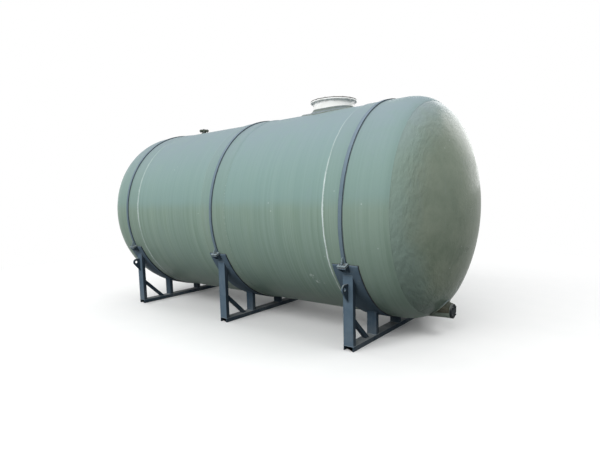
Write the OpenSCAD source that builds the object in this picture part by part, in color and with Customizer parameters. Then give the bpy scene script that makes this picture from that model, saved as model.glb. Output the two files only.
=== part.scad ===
// Horizontal filament-wound fiberglass storage tank on three steel saddle frames.
// Millimetres. X runs along the tank axis, Z is up, the floor is z = 0 and the
// origin lies under the middle of the tank. "near" is +X, "far" is -X.

/* [Tank] */
// Outside diameter of the plain wound shell
tank_d = 2500; // [2000:10:3000]
// Length of the straight shell between the two head tangent lines
straight_l = 4300; // [4200:10:6000]
// Laminate thickness of the shell
shell_t = 12; // [8:1:20]
// Laminate thickness of the heads
head_t = 14; // [8:1:24]
// Crown radius of a head, outside
crown_r = 2300; // [2200:10:2800]
// Knuckle radius of a head, outside
knuckle_r = 430; // [300:5:480]
// Clear height between the floor and the lowest point of the plain shell
floor_gap = 187; // [160:1:400]

/* [Laminate wraps] */
// Extra laminate thickness under the saddles and at the ends
wrap_t = 10; // [4:1:16]
// Length of the tapered edge of a wrap
wrap_taper = 22; // [10:1:40]
// Straight shell covered by each end wrap
end_wrap_l = 475; // [420:5:520]
// Distance that each end wrap runs over the head, past the tangent line
end_wrap_over = 232; // [120:2:260]
// Width of the middle wrap
mid_wrap_w = 450; // [380:5:600]

/* [Saddle spacing] */
// Distance from the near head's tangent line to the near saddle's middle
near_saddle_in = 270; // [250:1:285]
// Distance from the far head's tangent line to the far saddle's middle
far_saddle_in = 180; // [165:1:290]

/* [Saddle frames] */
// Height of the channel section, which is the width of every post
chan_h = 120; // [80:1:140]
// Flange width of the channel section
chan_b = 53; // [40:1:65]
// Web thickness of the channel section
chan_tw = 6; // [4:0.5:9]
// Flange thickness of the channel section
chan_tf = 8; // [5:0.5:12]
// How far the outer posts' faces stand in from the shell's widest line
post_inset = 147; // [110:1:190]
// Distance from the outer to the inner posts' faces
post_spacing = 498; // [400:1:640]
// Height where the brace's centre line meets the outer post
brace_top = 350; // [280:5:480]
// Distance from the outer post's face to where the brace's centre line meets the base
brace_reach = 368; // [300:1:378]
// Leg width of the angle brace
brace_w = 45; // [30:1:60]
// Leg thickness of the angle brace
brace_t = 5; // [3:0.5:8]

/* [Saddle plates and straps] */
// Width of the curved saddle plate along the tank
plate_w = 300; // [200:5:340]
// Thickness of the saddle plate and of the strap
plate_t = 8; // [5:0.5:12]
// Angle of shell that the saddle plate wraps around, centred on the bottom
plate_deg = 132; // [124:1:140]
// Thickness of the rubber liner
liner_t = 4; // [2:0.5:8]
// How far the rubber shows past each edge of plate and strap
liner_lip = 7; // [3:1:12]
// Width of the hold-down strap
strap_w = 40; // [32:1:64]
// Gap between the clamp plates of saddle and strap
clamp_gap = 10; // [6:1:30]
// Width of the clamp plates along the tank
clamp_w = 100; // [92:1:150]
// How far the clamp plates stand out from the saddle plate
clamp_out = 68; // [55:1:90]
// Thickness of the clamp plates
clamp_t = 12; // [8:1:16]
// Distance between the two clamp bolts
clamp_bolt_pitch = 48; // [40:1:54]
// Clamp bolt hole diameter
clamp_hole_d = 14; // [10:1:18]
// Thickness of the clamp gussets
gusset_t = 8; // [5:1:10]

/* [Lifting lugs] */
// Radius of the lug's rounded nose
lug_nose_r = 50; // [38:1:60]
// Diameter of the shackle hole
lug_hole_d = 40; // [24:1:50]
// Distance of the shackle hole from the post's face
lug_out = 64; // [55:1:90]
// Height of the shackle hole above the floor
lug_z = 669; // [560:1:700]
// Height of the lug where it is welded to the post
lug_root_h = 200; // [150:5:260]
// Thickness of the lug plate
lug_t = 16; // [10:1:25]

/* [Manway] */
// Distance from the near head's tangent line to the manway's axis
manway_in = 1133; // [1050:1:1350]
// Inside diameter of the manway
manway_bore = 500; // [400:5:550]
// Wall thickness of the manway neck
manway_wall = 10; // [6:1:16]
// Diameter of the manway flange and cover
manway_flange_d = 596; // [590:1:660]
// Thickness of the manway flange
manway_flange_t = 14; // [10:1:25]
// Thickness of the manway cover
manway_cover_t = 14; // [8:1:25]
// Thickness of the rubber gasket
gasket_t = 4; // [2:0.5:8]
// Height of the flange's face above the top of the shell
manway_h = 134; // [110:1:300]
// Bolt circle of the manway
manway_pcd = 562; // [560:1:566]
// Number of manway bolts
manway_bolts = 16; // [8:4:20]
// Manway bolt hole diameter
manway_hole_d = 14; // [10:1:15]
// Diameter of the laminate pad around the manway
manway_pad_d = 840; // [720:10:1000]
// Thickness of the laminate pads
pad_t = 12; // [6:1:20]
// Height that the laminate climbs up the manway neck
manway_collar_h = 52; // [30:1:60]

/* [Vent nozzle] */
// Distance from the far head's tangent line to the vent's axis
vent_in = 585; // [570:1:950]
// Diameter of the vent flange
vent_flange_d = 150; // [140:1:165]
// Bore of the vent
vent_bore = 40; // [25:1:50]
// Outside diameter of the vent pipe
vent_pipe_d = 64; // [56:1:72]
// Thickness of the vent's own flange
vent_flange_t = 14; // [10:1:24]
// Thickness of the vent's blind flange
vent_blind_t = 12; // [8:1:18]
// Height of the vent flange's face above the top of the shell
vent_h = 70; // [64:1:200]
// Bolt circle of the vent flange
vent_pcd = 110; // [106:1:112]
// Diameter of the laminate pad around the vent
vent_pad_d = 170; // [120:5:180]

/* [Drain nozzle] */
// Height of the drain's axis above the lowest point of the plain shell
drain_rise = 100; // [95:1:150]
// Distance of the drain nozzle's face past the head's tangent line
drain_len = 418; // [400:1:550]
// Diameter of the drain nozzle and of its blind flange
drain_d = 165; // [160:1:172]
// Diameter that the nozzle's laminate grows to at the tangent line
drain_root_d = 206; // [175:1:230]
// Length of the nozzle's straight end, before the laminate grows
drain_straight = 60; // [45:1:100]
// Diameter of the laminate pad around the drain, on the head
drain_pad_d = 250; // [230:5:300]
// Bore of the drain
drain_bore = 50; // [30:1:60]
// Thickness of the drain's blind flange
drain_blind_t = 22; // [14:1:30]
// Bolt circle of the drain
drain_pcd = 125; // [115:1:128]
// Depth of the stud holes in the drain nozzle
stud_depth = 40; // [25:1:50]
// Bolts on the vent and on the drain
nozzle_bolts = 4; // [4:4:8]
// Bolt hole diameter on the vent and on the drain
nozzle_hole_d = 18; // [10:1:18]

/* [Hidden] */
$fn = 96;
R = tank_d / 2;
axis_z = floor_gap + R;
half_l = straight_l / 2;
wrap_r = R + wrap_t;
liner_r = wrap_r + liner_t;
plate_r = liner_r + plate_t;
drain_z = axis_z - R + drain_rise;
drain_face_x = half_l + drain_len;
manway_x = half_l - manway_in;
vent_x = vent_in - half_l;
near_saddle_x = half_l - near_saddle_in;
far_saddle_x = far_saddle_in - half_l;
saddle_x = [far_saddle_x, (far_saddle_x + near_saddle_x) / 2, near_saddle_x];
post_y = R - post_inset;
inner_post_y = post_y - post_spacing;
brace_foot_y = post_y - brace_reach;
plate_half = plate_deg / 2;
// angles below are measured around the tank axis from straight down
clamp_half_deg = asin(clamp_t / plate_r) / 2;
gap_deg = asin(clamp_gap / plate_r);
// the clamp gussets' set-back from the plate's ends, the plate left free above
// them, and the width of their blunt nose
gusset_inset = 3;
gusset_drop = 6;
gusset_nose = 8;
// angle where the two halves of a strap's run over the top begin
split_deg = 120;
// angle by which the wide liner runs past the saddle plate
liner_over = 0.4;
clamp_a = plate_half - clamp_half_deg;
strap_a = clamp_a + 2 * clamp_half_deg + gap_deg;
base_top = chan_b;
big = 4 * R;
arc_n = 14;
steel = [0.30, 0.36, 0.42];
frp = [0.40, 0.46, 0.40];
white = [0.90, 0.90, 0.88];
rubber = [0.06, 0.06, 0.07];
dark_steel = [0.13, 0.14, 0.16];

// ---------- profiles ----------

// Points [radius, distance past the tangent line] of a head's surface that lies
// t outside the outer surface, from normal angle 0 at the tangent line to a1.
function knuckle_end() = 90 - asin((R - knuckle_r) / (crown_r - knuckle_r));
function crown_back() = sqrt(pow(crown_r - knuckle_r, 2) - pow(R - knuckle_r, 2));
function head_point(t, a) = a <= knuckle_end()
    ? [R - knuckle_r + (knuckle_r + t) * cos(a), (knuckle_r + t) * sin(a)]
    : [(crown_r + t) * cos(a), (crown_r + t) * sin(a) - crown_back()];
function head_angles() = concat(
    [for (i = [0 : arc_n - 1]) i * knuckle_end() / arc_n],
    [for (i = [0 : arc_n]) knuckle_end() + i * (90 - knuckle_end()) / arc_n]);
function head_curve(t) = [for (a = head_angles()) head_point(t, a)];
// normal angle on the knuckle at a given distance past the tangent line
function angle_at(x) = asin(x / knuckle_r);
function wrap_angles() = let (e = angle_at(end_wrap_over), s = knuckle_end() / arc_n)
    concat([for (i = [0 : arc_n - 1]) if (i * s < e - 0.6) i * s], [e]);

// turns a profile drawn in [radius, x] about the tank axis
module turned(sgn = 1) {
    translate([0, 0, axis_z]) rotate([0, 90, 0])
        mirror([0, 0, sgn > 0 ? 0 : 1]) rotate_extrude($fn = 180) children();
}
module tube_x(r0, r1, x0, x1) {
    translate([x0, 0, axis_z]) rotate([0, 90, 0]) difference() {
        cylinder(r = r1, h = x1 - x0, $fn = 180);
        translate([0, 0, -5]) cylinder(r = r0, h = x1 - x0 + 10, $fn = 180);
    }
}
module rod_x(r, x0, x1, z = axis_z) {
    translate([x0, 0, z]) rotate([0, 90, 0]) cylinder(r = r, h = x1 - x0, $fn = 180);
}
// a wedge of angles a0 to a1 around the tank axis, on the -Y side, straight down = 0
module sector(a0, a1, x, w) {
    m = (a0 + a1) / 2;
    translate([x - w / 2, 0, axis_z]) rotate([90, 0, 90]) linear_extrude(w)
        polygon([[0, 0], for (i = [0 : 4]) let (a = a0 + (a1 - a0) * i / 4)
            [-big * sin(a), -big * cos(a)]]);
}

// ---------- tank ----------

module tank_shell() {
    color(frp) difference() {
        tube_x(R - shell_t, R, -half_l, half_l);
        translate([manway_x, 0, axis_z]) cylinder(d = manway_bore, h = big);
        translate([vent_x, 0, axis_z]) cylinder(d = vent_bore, h = big);
    }
}
module head(sgn) {
    turned(sgn) translate([0, half_l]) polygon(concat(
        head_curve(0),
        [for (i = [len(head_angles()) - 1 : -1 : 0]) head_point(-head_t, head_angles()[i])]));
}
module near_head() {
    color(frp) difference() {
        head(1);
        rod_x(drain_bore / 2, half_l, drain_face_x, drain_z);
    }
}
module far_head() { color(frp) head(-1); }
module end_wrap(sgn) {
    a = wrap_angles();
    n = len(a);
    turned(sgn) translate([0, half_l]) polygon(concat(
        [[R, -end_wrap_l], [wrap_r, wrap_taper - end_wrap_l]],
        [for (i = [0 : n - 2]) head_point(wrap_t, a[i])],
        [head_point(0, a[n - 1])],
        [for (i = [n - 2 : -1 : 0]) head_point(0, a[i])]));
}
module near_end_wrap() { color(frp) end_wrap(1); }
module far_end_wrap() { color(frp) end_wrap(-1); }
module middle_wrap() {
    h = mid_wrap_w / 2;
    color(frp) turned() polygon([[R, -h], [wrap_r, wrap_taper - h], [wrap_r, h - wrap_taper], [R, h]]);
}

// ---------- manway ----------

module ring_of(n, pcd) {
    for (i = [0 : n - 1]) rotate((i + 0.5) * 360 / n) translate([pcd / 2, 0, 0]) children();
}
module manway_ring(d0, z0, t) {
    translate([manway_x, 0, axis_z + R + z0]) difference() {
        cylinder(d = manway_flange_d, h = t);
        if (d0 > 0) translate([0, 0, -1]) cylinder(d = d0, h = t + 2);
        ring_of(manway_bolts, manway_pcd)
            translate([0, 0, -1]) cylinder(d = manway_hole_d, h = t + 2, $fn = 32);
    }
}
module manway_neck() {
    color(white) {
        difference() {
            translate([manway_x, 0, axis_z]) cylinder(d = manway_bore + 2 * manway_wall, h = R + manway_h);
            translate([manway_x, 0, axis_z - 1]) cylinder(d = manway_bore, h = R + manway_h + 2);
            rod_x(R, manway_x - manway_bore, manway_x + manway_bore);
        }
        difference() {
            manway_ring(0, manway_h - manway_flange_t, manway_flange_t);
            translate([manway_x, 0, axis_z]) cylinder(d = manway_bore, h = R + manway_h + 2);
        }
    }
}
module manway_gasket() { color(rubber) manway_ring(manway_bore, manway_h, gasket_t); }
module manway_cover() { color(white) manway_ring(0, manway_h + gasket_t, manway_cover_t); }
module manway_pad() {
    neck_d = manway_bore + 2 * manway_wall;
    color(frp) difference() {
        intersection() {
            union() {
                intersection() {
                    translate([manway_x, 0, axis_z]) cylinder(d = manway_pad_d, h = big);
                    rod_x(R + pad_t, manway_x - manway_pad_d, manway_x + manway_pad_d);
                }
                intersection() {
                    translate([manway_x, 0, axis_z]) cylinder(d = neck_d + 2 * pad_t, h = big);
                    rod_x(R + manway_collar_h, manway_x - manway_pad_d, manway_x + manway_pad_d);
                }
            }
            translate([manway_x - manway_pad_d, -manway_pad_d, axis_z + R / 2])
                cube([2 * manway_pad_d, 2 * manway_pad_d, R]);
        }
        translate([manway_x, 0, axis_z]) cylinder(d = neck_d, h = big);
        rod_x(R, manway_x - manway_pad_d, manway_x + manway_pad_d);
    }
}

// ---------- vent ----------

module vent_ring(d0, z0, t) {
    translate([vent_x, 0, axis_z + R + z0]) difference() {
        cylinder(d = vent_flange_d, h = t);
        if (d0 > 0) translate([0, 0, -1]) cylinder(d = d0, h = t + 2);
        ring_of(nozzle_bolts, vent_pcd)
            translate([0, 0, -1]) cylinder(d = nozzle_hole_d, h = t + 2, $fn = 32);
    }
}
module vent_nozzle() {
    color(frp) {
        difference() {
            union() {
                translate([vent_x, 0, axis_z]) cylinder(d = vent_pipe_d, h = R + vent_h - vent_flange_t);
                intersection() {
                    translate([vent_x, 0, axis_z]) cylinder(d = vent_pad_d, h = R + vent_h - vent_flange_t);
                    rod_x(R + pad_t, vent_x - vent_pad_d, vent_x + vent_pad_d);
                }
            }
            translate([vent_x, 0, axis_z - 1]) cylinder(d = vent_bore, h = big);
            rod_x(R, vent_x - vent_pad_d, vent_x + vent_pad_d);
        }
        vent_ring(vent_bore, vent_h - vent_flange_t, vent_flange_t);
    }
}
module vent_blind_flange() { color(dark_steel) vent_ring(0, vent_h, vent_blind_t); }

// ---------- drain ----------

// everything inside the outer surface of the near end, wrap included
module near_end_envelope() {
    a = wrap_angles();
    n = len(a);
    turned() translate([0, half_l]) polygon(concat(
        [[0, -10], [wrap_r, -10]],
        [for (i = [0 : n - 2]) head_point(wrap_t, a[i])],
        [head_point(0, a[n - 1])],
        [for (b = head_angles()) if (b > a[n - 1] + 0.05) head_point(0, b)]));
}
// everything inside the skin that lies t outside the near head
module near_head_grown(t) {
    turned() translate([0, half_l]) polygon(concat([[0, 0]], head_curve(t)));
}
module drain_nozzle() {
    color(frp) difference() {
        union() {
            translate([half_l, 0, drain_z]) rotate([0, 90, 0]) {
                cylinder(d1 = drain_root_d, d2 = drain_d, h = drain_face_x - drain_straight - half_l);
                cylinder(d = drain_d, h = drain_face_x - half_l);
            }
            intersection() {
                rod_x(drain_pad_d / 2, half_l, drain_face_x, drain_z);
                near_head_grown(pad_t);
            }
        }
        near_end_envelope();
        rod_x(drain_bore / 2, half_l, drain_face_x + 1, drain_z);
        drain_holes(drain_face_x - stud_depth, drain_face_x + 1);
    }
}
module drain_holes(x0, x1) {
    translate([x0, 0, drain_z]) rotate([0, 90, 0])
        ring_of(nozzle_bolts, drain_pcd) cylinder(d = nozzle_hole_d, h = x1 - x0, $fn = 32);
}
module drain_blind_flange() {
    color(dark_steel) difference() {
        rod_x(drain_d / 2, drain_face_x, drain_face_x + drain_blind_t, drain_z);
        drain_holes(drain_face_x - 1, drain_face_x + drain_blind_t + 1);
    }
}

// ---------- saddle frames ----------

// channel section standing along Z with its web in the XZ plane at y = 0 and
// its flanges running to y = chan_b
module channel_z(h) {
    difference() {
        translate([-chan_h / 2, 0, 0]) cube([chan_h, chan_b, h]);
        translate([-chan_h / 2 + chan_tf, chan_tw, -1])
            cube([chan_h - 2 * chan_tf, chan_b, h + 2]);
    }
}
module base_channel(x) {
    color(steel) translate([x, -post_y, 0]) difference() {
        translate([-chan_h / 2, 0, 0]) cube([chan_h, 2 * post_y, chan_b]);
        translate([-chan_h / 2 + chan_tf, -1, -1])
            cube([chan_h - 2 * chan_tf, 2 * post_y + 2, chan_b - chan_tw + 1]);
    }
}
module post_pair(x, y) {
    difference() {
        for (s = [0, 1]) mirror([0, s, 0])
            translate([x, -y, base_top]) channel_z(axis_z - base_top);
        rod_x(plate_r, x - chan_h, x + chan_h);
    }
}
module outer_posts(x) { color(steel) post_pair(x, post_y); }
module inner_posts(x) {
    color(steel) {
        post_pair(x, inner_post_y);
        difference() {
            translate([x, -chan_b / 2, base_top]) channel_z(axis_z - base_top);
            rod_x(plate_r, x - chan_h, x + chan_h);
        }
    }
}
module braces(x) {
    y0 = post_y - chan_b;
    web_y = post_y - chan_tw;
    run = y0 - brace_foot_y;
    rise = brace_top - base_top;
    ang = atan2(rise, run);
    spare = 2 * (chan_b + brace_w);
    length = norm([run, rise]) + 2 * spare;
    color(steel) for (s = [0, 1]) mirror([0, s, 0]) intersection() {
        translate([x - brace_w / 2, -y0, brace_top]) rotate([-ang, 0, 0])
            translate([0, -spare, -brace_w / 2]) difference() {
                cube([brace_w, length, brace_w]);
                translate([-brace_t, -1, brace_t]) cube([brace_w, length + 2, brace_w]);
            }
        translate([x - brace_w, -web_y, base_top]) cube([2 * brace_w, web_y, brace_top + spare]);
    }
}
module saddle_plate(x) {
    color(steel) intersection() {
        tube_x(liner_r, plate_r, x - plate_w / 2, x + plate_w / 2);
        both_sides() sector(0, plate_half, x, plate_w + 2);
    }
}
module both_sides() {
    children();
    mirror([0, 1, 0]) children();
}
module liner(x) {
    w = plate_w + 2 * liner_lip;
    sw = strap_w + 2 * liner_lip;
    color(rubber) {
        intersection() {
            tube_x(wrap_r, liner_r, x - w / 2, x + w / 2);
            both_sides() sector(0, plate_half + liner_over, x, w + 2);
        }
        intersection() {
            tube_x(wrap_r, liner_r, x - sw / 2, x + sw / 2);
            both_sides() {
                sector(plate_half + liner_over, split_deg, x, sw + 2);
                sector(split_deg, 180, x, sw + 2);
            }
        }
    }
}
// a plate standing out of the saddle along a radius at angle a, -Y side, whose
// foot lies at radius r0
module clamp_plate(x, a, w, r0) {
    translate([x, 0, axis_z]) rotate([-a, 0, 0]) difference() {
        translate([-w / 2, -clamp_t / 2, -plate_r - clamp_out])
            cube([w, clamp_t, plate_r + clamp_out - r0]);
        for (s = [-1, 1]) translate([s * clamp_bolt_pitch / 2, 0, -plate_r - clamp_out / 2])
            rotate([90, 0, 0]) cylinder(d = clamp_hole_d, h = clamp_t + 2, center = true, $fn = 48);
    }
}
// triangular gussets against a clamp plate, on the side dir of it, at the given
// places along it, with their feet on the curve of radius r0
module clamp_gussets(x, a, dir, places, r0) {
    end = clamp_t / 2 + clamp_out;
    top = plate_r + clamp_out - gusset_drop;
    step = asin(end / r0) / 6;
    foot = r0 + 0.02;
    for (p = places) translate([x + p - gusset_t / 2, 0, axis_z]) rotate([-a, 0, 0])
        rotate([90, 0, 90]) linear_extrude(gusset_t) polygon(concat(
            [[dir * clamp_t / 4, -r0 - gusset_inset],
             [dir * clamp_t / 4, -top],
             [dir * (clamp_t / 2 + gusset_nose), -top],
             [dir * end, -plate_r - gusset_drop]],
            [for (i = [6 : -1 : 1]) [dir * foot * sin(i * step), -foot * cos(i * step)]]));
}
module strap_clamps(x) {
    clamp_end = clamp_w / 2 - gusset_t / 2 - gusset_inset;
    color(steel) both_sides() {
        clamp_plate(x, clamp_a, clamp_w, plate_r);
        clamp_gussets(x, clamp_a, 1, [-clamp_end, clamp_end], plate_r);
    }
}
module strap(x) {
    color(steel) {
        intersection() {
            tube_x(liner_r, plate_r, x - strap_w / 2, x + strap_w / 2);
            both_sides() {
                sector(strap_a + clamp_half_deg / 2, split_deg, x, strap_w + 2);
                sector(split_deg, 180, x, strap_w + 2);
            }
        }
        both_sides() {
            clamp_plate(x, strap_a, clamp_w, plate_r - plate_t / 2);
            clamp_gussets(x, strap_a, -1, [0], plate_r - plate_t / 2);
        }
    }
}
module lifting_lugs(x) {
    y = post_y + lug_out;
    top = lug_z + lug_nose_r;
    color(steel) both_sides() translate([x - lug_t / 2, 0, 0]) rotate([90, 0, 90])
        linear_extrude(lug_t) difference() {
            hull() {
                translate([-y, lug_z]) circle(r = lug_nose_r, $fn = 64);
                translate([-post_y - 1, top - lug_root_h]) square([1, lug_root_h]);
            }
            translate([-y, lug_z]) circle(d = lug_hole_d);
        }
}

module far_base_channel() { base_channel(saddle_x[0]); }
module far_outer_posts() { outer_posts(saddle_x[0]); }
module far_inner_posts() { inner_posts(saddle_x[0]); }
module far_braces() { braces(saddle_x[0]); }
module far_saddle_plate() { saddle_plate(saddle_x[0]); }
module far_liner() { liner(saddle_x[0]); }
module far_strap() { strap(saddle_x[0]); }
module far_strap_clamps() { strap_clamps(saddle_x[0]); }
module far_lifting_lugs() { lifting_lugs(saddle_x[0]); }
module middle_base_channel() { base_channel(saddle_x[1]); }
module middle_outer_posts() { outer_posts(saddle_x[1]); }
module middle_inner_posts() { inner_posts(saddle_x[1]); }
module middle_braces() { braces(saddle_x[1]); }
module middle_saddle_plate() { saddle_plate(saddle_x[1]); }
module middle_liner() { liner(saddle_x[1]); }
module middle_strap() { strap(saddle_x[1]); }
module middle_strap_clamps() { strap_clamps(saddle_x[1]); }
module near_base_channel() { base_channel(saddle_x[2]); }
module near_outer_posts() { outer_posts(saddle_x[2]); }
module near_inner_posts() { inner_posts(saddle_x[2]); }
module near_braces() { braces(saddle_x[2]); }
module near_saddle_plate() { saddle_plate(saddle_x[2]); }
module near_liner() { liner(saddle_x[2]); }
module near_strap() { strap(saddle_x[2]); }
module near_strap_clamps() { strap_clamps(saddle_x[2]); }
module near_lifting_lugs() { lifting_lugs(saddle_x[2]); }

tank_shell();
near_head();
far_head();
near_end_wrap();
far_end_wrap();
middle_wrap();
manway_neck();
manway_gasket();
manway_cover();
manway_pad();
vent_nozzle();
vent_blind_flange();
drain_nozzle();
drain_blind_flange();
far_base_channel();
far_outer_posts();
far_inner_posts();
far_braces();
far_saddle_plate();
far_liner();
far_strap();
far_strap_clamps();
far_lifting_lugs();
middle_base_channel();
middle_outer_posts();
middle_inner_posts();
middle_braces();
middle_saddle_plate();
middle_liner();
middle_strap();
middle_strap_clamps();
near_base_channel();
near_outer_posts();
near_inner_posts();
near_braces();
near_saddle_plate();
near_liner();
near_strap();
near_strap_clamps();
near_lifting_lugs();
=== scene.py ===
"""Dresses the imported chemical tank: wound laminate, hand-laid ends, gelcoat, steel frames and rubber.

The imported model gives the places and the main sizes. Each class builds one sub-assembly from
them, each finish is a small frozen dataclass, and Geometry Nodes turn the round pieces and lay
the bolts and the weld beads.
"""

import logging
import math
from contextlib import contextmanager
from dataclasses import dataclass
from enum import Enum
from typing import Any, Callable, Iterator, Sequence

import bmesh
import bpy
from mathutils import Matrix, Vector, noise


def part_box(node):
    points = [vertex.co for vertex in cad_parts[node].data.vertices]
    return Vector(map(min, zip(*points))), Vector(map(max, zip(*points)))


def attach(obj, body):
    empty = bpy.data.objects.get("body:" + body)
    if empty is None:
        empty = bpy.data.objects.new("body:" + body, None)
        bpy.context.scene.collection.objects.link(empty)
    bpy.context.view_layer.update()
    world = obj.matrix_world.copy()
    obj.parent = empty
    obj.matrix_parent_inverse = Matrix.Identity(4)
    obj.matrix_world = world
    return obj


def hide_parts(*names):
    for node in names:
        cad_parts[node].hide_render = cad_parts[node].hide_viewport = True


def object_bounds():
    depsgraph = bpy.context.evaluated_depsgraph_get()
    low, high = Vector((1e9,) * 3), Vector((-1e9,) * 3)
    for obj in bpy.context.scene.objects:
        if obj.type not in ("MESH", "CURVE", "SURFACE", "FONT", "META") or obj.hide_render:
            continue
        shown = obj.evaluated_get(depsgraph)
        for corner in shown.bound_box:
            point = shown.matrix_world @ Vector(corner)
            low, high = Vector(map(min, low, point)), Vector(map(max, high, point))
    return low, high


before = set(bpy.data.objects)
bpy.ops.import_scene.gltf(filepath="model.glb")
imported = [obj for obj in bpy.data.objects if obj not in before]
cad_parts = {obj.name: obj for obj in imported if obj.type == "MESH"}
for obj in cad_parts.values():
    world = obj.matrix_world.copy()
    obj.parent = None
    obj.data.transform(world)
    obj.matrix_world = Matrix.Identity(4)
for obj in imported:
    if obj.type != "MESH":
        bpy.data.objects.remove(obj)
CAD_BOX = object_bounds()

LOG = logging.getLogger("tank")
BODY = "root"
FULL_TURN = 2 * math.pi
QUARTER = math.pi / 2
SIDES = (-1, 1)
ORIGIN = (0.0, 0.0, 0.0)
ALONG = Vector((1, 0, 0))

Mesh, Material, Tree = bpy.types.Mesh, bpy.types.Material, bpy.types.NodeTree
Triple = tuple[float, float, float]
Colour = tuple[float, float, float, float]
Flat = tuple[float, float]


# ---------------------------------------------------------------- sizes


@dataclass(frozen=True)
class Span:
    """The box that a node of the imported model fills, in metres."""

    lo: Vector
    hi: Vector

    @classmethod
    def of(cls, node: str) -> "Span":
        """Returns the box of one node."""
        return cls(*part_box(node))

    @property
    def middle(self) -> Vector:
        """The middle of the box."""
        return (self.lo + self.hi) / 2

    @property
    def size(self) -> Vector:
        """The box's three sides."""
        return self.hi - self.lo


@dataclass(frozen=True)
class TankSizes:
    """What every sub-assembly needs to know about the tank.

    Attributes:
        radius: Outside radius of the plain shell.
        axis_z: Height of the tank's axis.
        tangent: Distance of the head tangent lines from the middle.
        wrap_radius: Outside radius of the laminate wraps.
        plate_radius: Outside radius of the saddle plates and straps.
        liner_radius: Outside radius of the rubber liners.
    """

    radius: float
    axis_z: float
    tangent: float
    wrap_radius: float
    plate_radius: float
    liner_radius: float

    @classmethod
    def from_frame(cls) -> "TankSizes":
        """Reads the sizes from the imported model.

        Returns:
            The tank's sizes.
        """
        shell, wrap = Span.of("tank_shell"), Span.of("middle_wrap")
        axis_z = shell.middle.z
        plate, liner = Span.of("middle_saddle_plate"), Span.of("middle_liner")
        return cls(
            shell.size.z / 2, axis_z, shell.hi.x, wrap.size.z / 2, axis_z - plate.lo.z, axis_z - liner.lo.z
        )


# ---------------------------------------------------------------- node trees


class Wire:
    """A node's output. A sum or product of it adds the node that works it out."""

    def __init__(self, net: "Net", socket: bpy.types.NodeSocket) -> None:
        """Takes the net that further nodes go into, and the output."""
        self.net, self.socket = net, socket

    def __getitem__(self, key: Any) -> "Wire":
        """Returns another output of the same node, by name or number."""
        return Wire(self.net, pick(self.socket.node.outputs, key))

    def __add__(self, other: Any) -> "Wire":
        """Returns the sum."""
        return self.net.math("ADD", self, other)

    def __sub__(self, other: Any) -> "Wire":
        """Returns the difference."""
        return self.net.math("SUBTRACT", self, other)

    def __rsub__(self, other: float) -> "Wire":
        """Returns a number less this."""
        return self.net.math("SUBTRACT", other, self)

    def __mul__(self, other: Any) -> "Wire":
        """Returns the product."""
        return self.net.math("MULTIPLY", self, other)

    def __truediv__(self, other: Any) -> "Wire":
        """Returns the quotient."""
        return self.net.math("DIVIDE", self, other)

    def __rtruediv__(self, other: float) -> "Wire":
        """Returns a number over this."""
        return self.net.math("DIVIDE", other, self)

    def remap(self, low: Any, high: Any, to_low: Any = 0.0, to_high: Any = 1.0) -> "Wire":
        """Returns the value carried smoothly, and within bounds, from one range to another."""
        inputs = {0: self, 1: low, 2: high, 3: to_low, 4: to_high}
        return self.net.add("ShaderNodeMapRange", inputs, interpolation_type="SMOOTHSTEP")

    def parts(self) -> list["Wire"]:
        """Returns the three parts of a vector."""
        node = self.net.add("ShaderNodeSeparateXYZ", {0: self})
        return [node[key] for key in range(3)]


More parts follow.
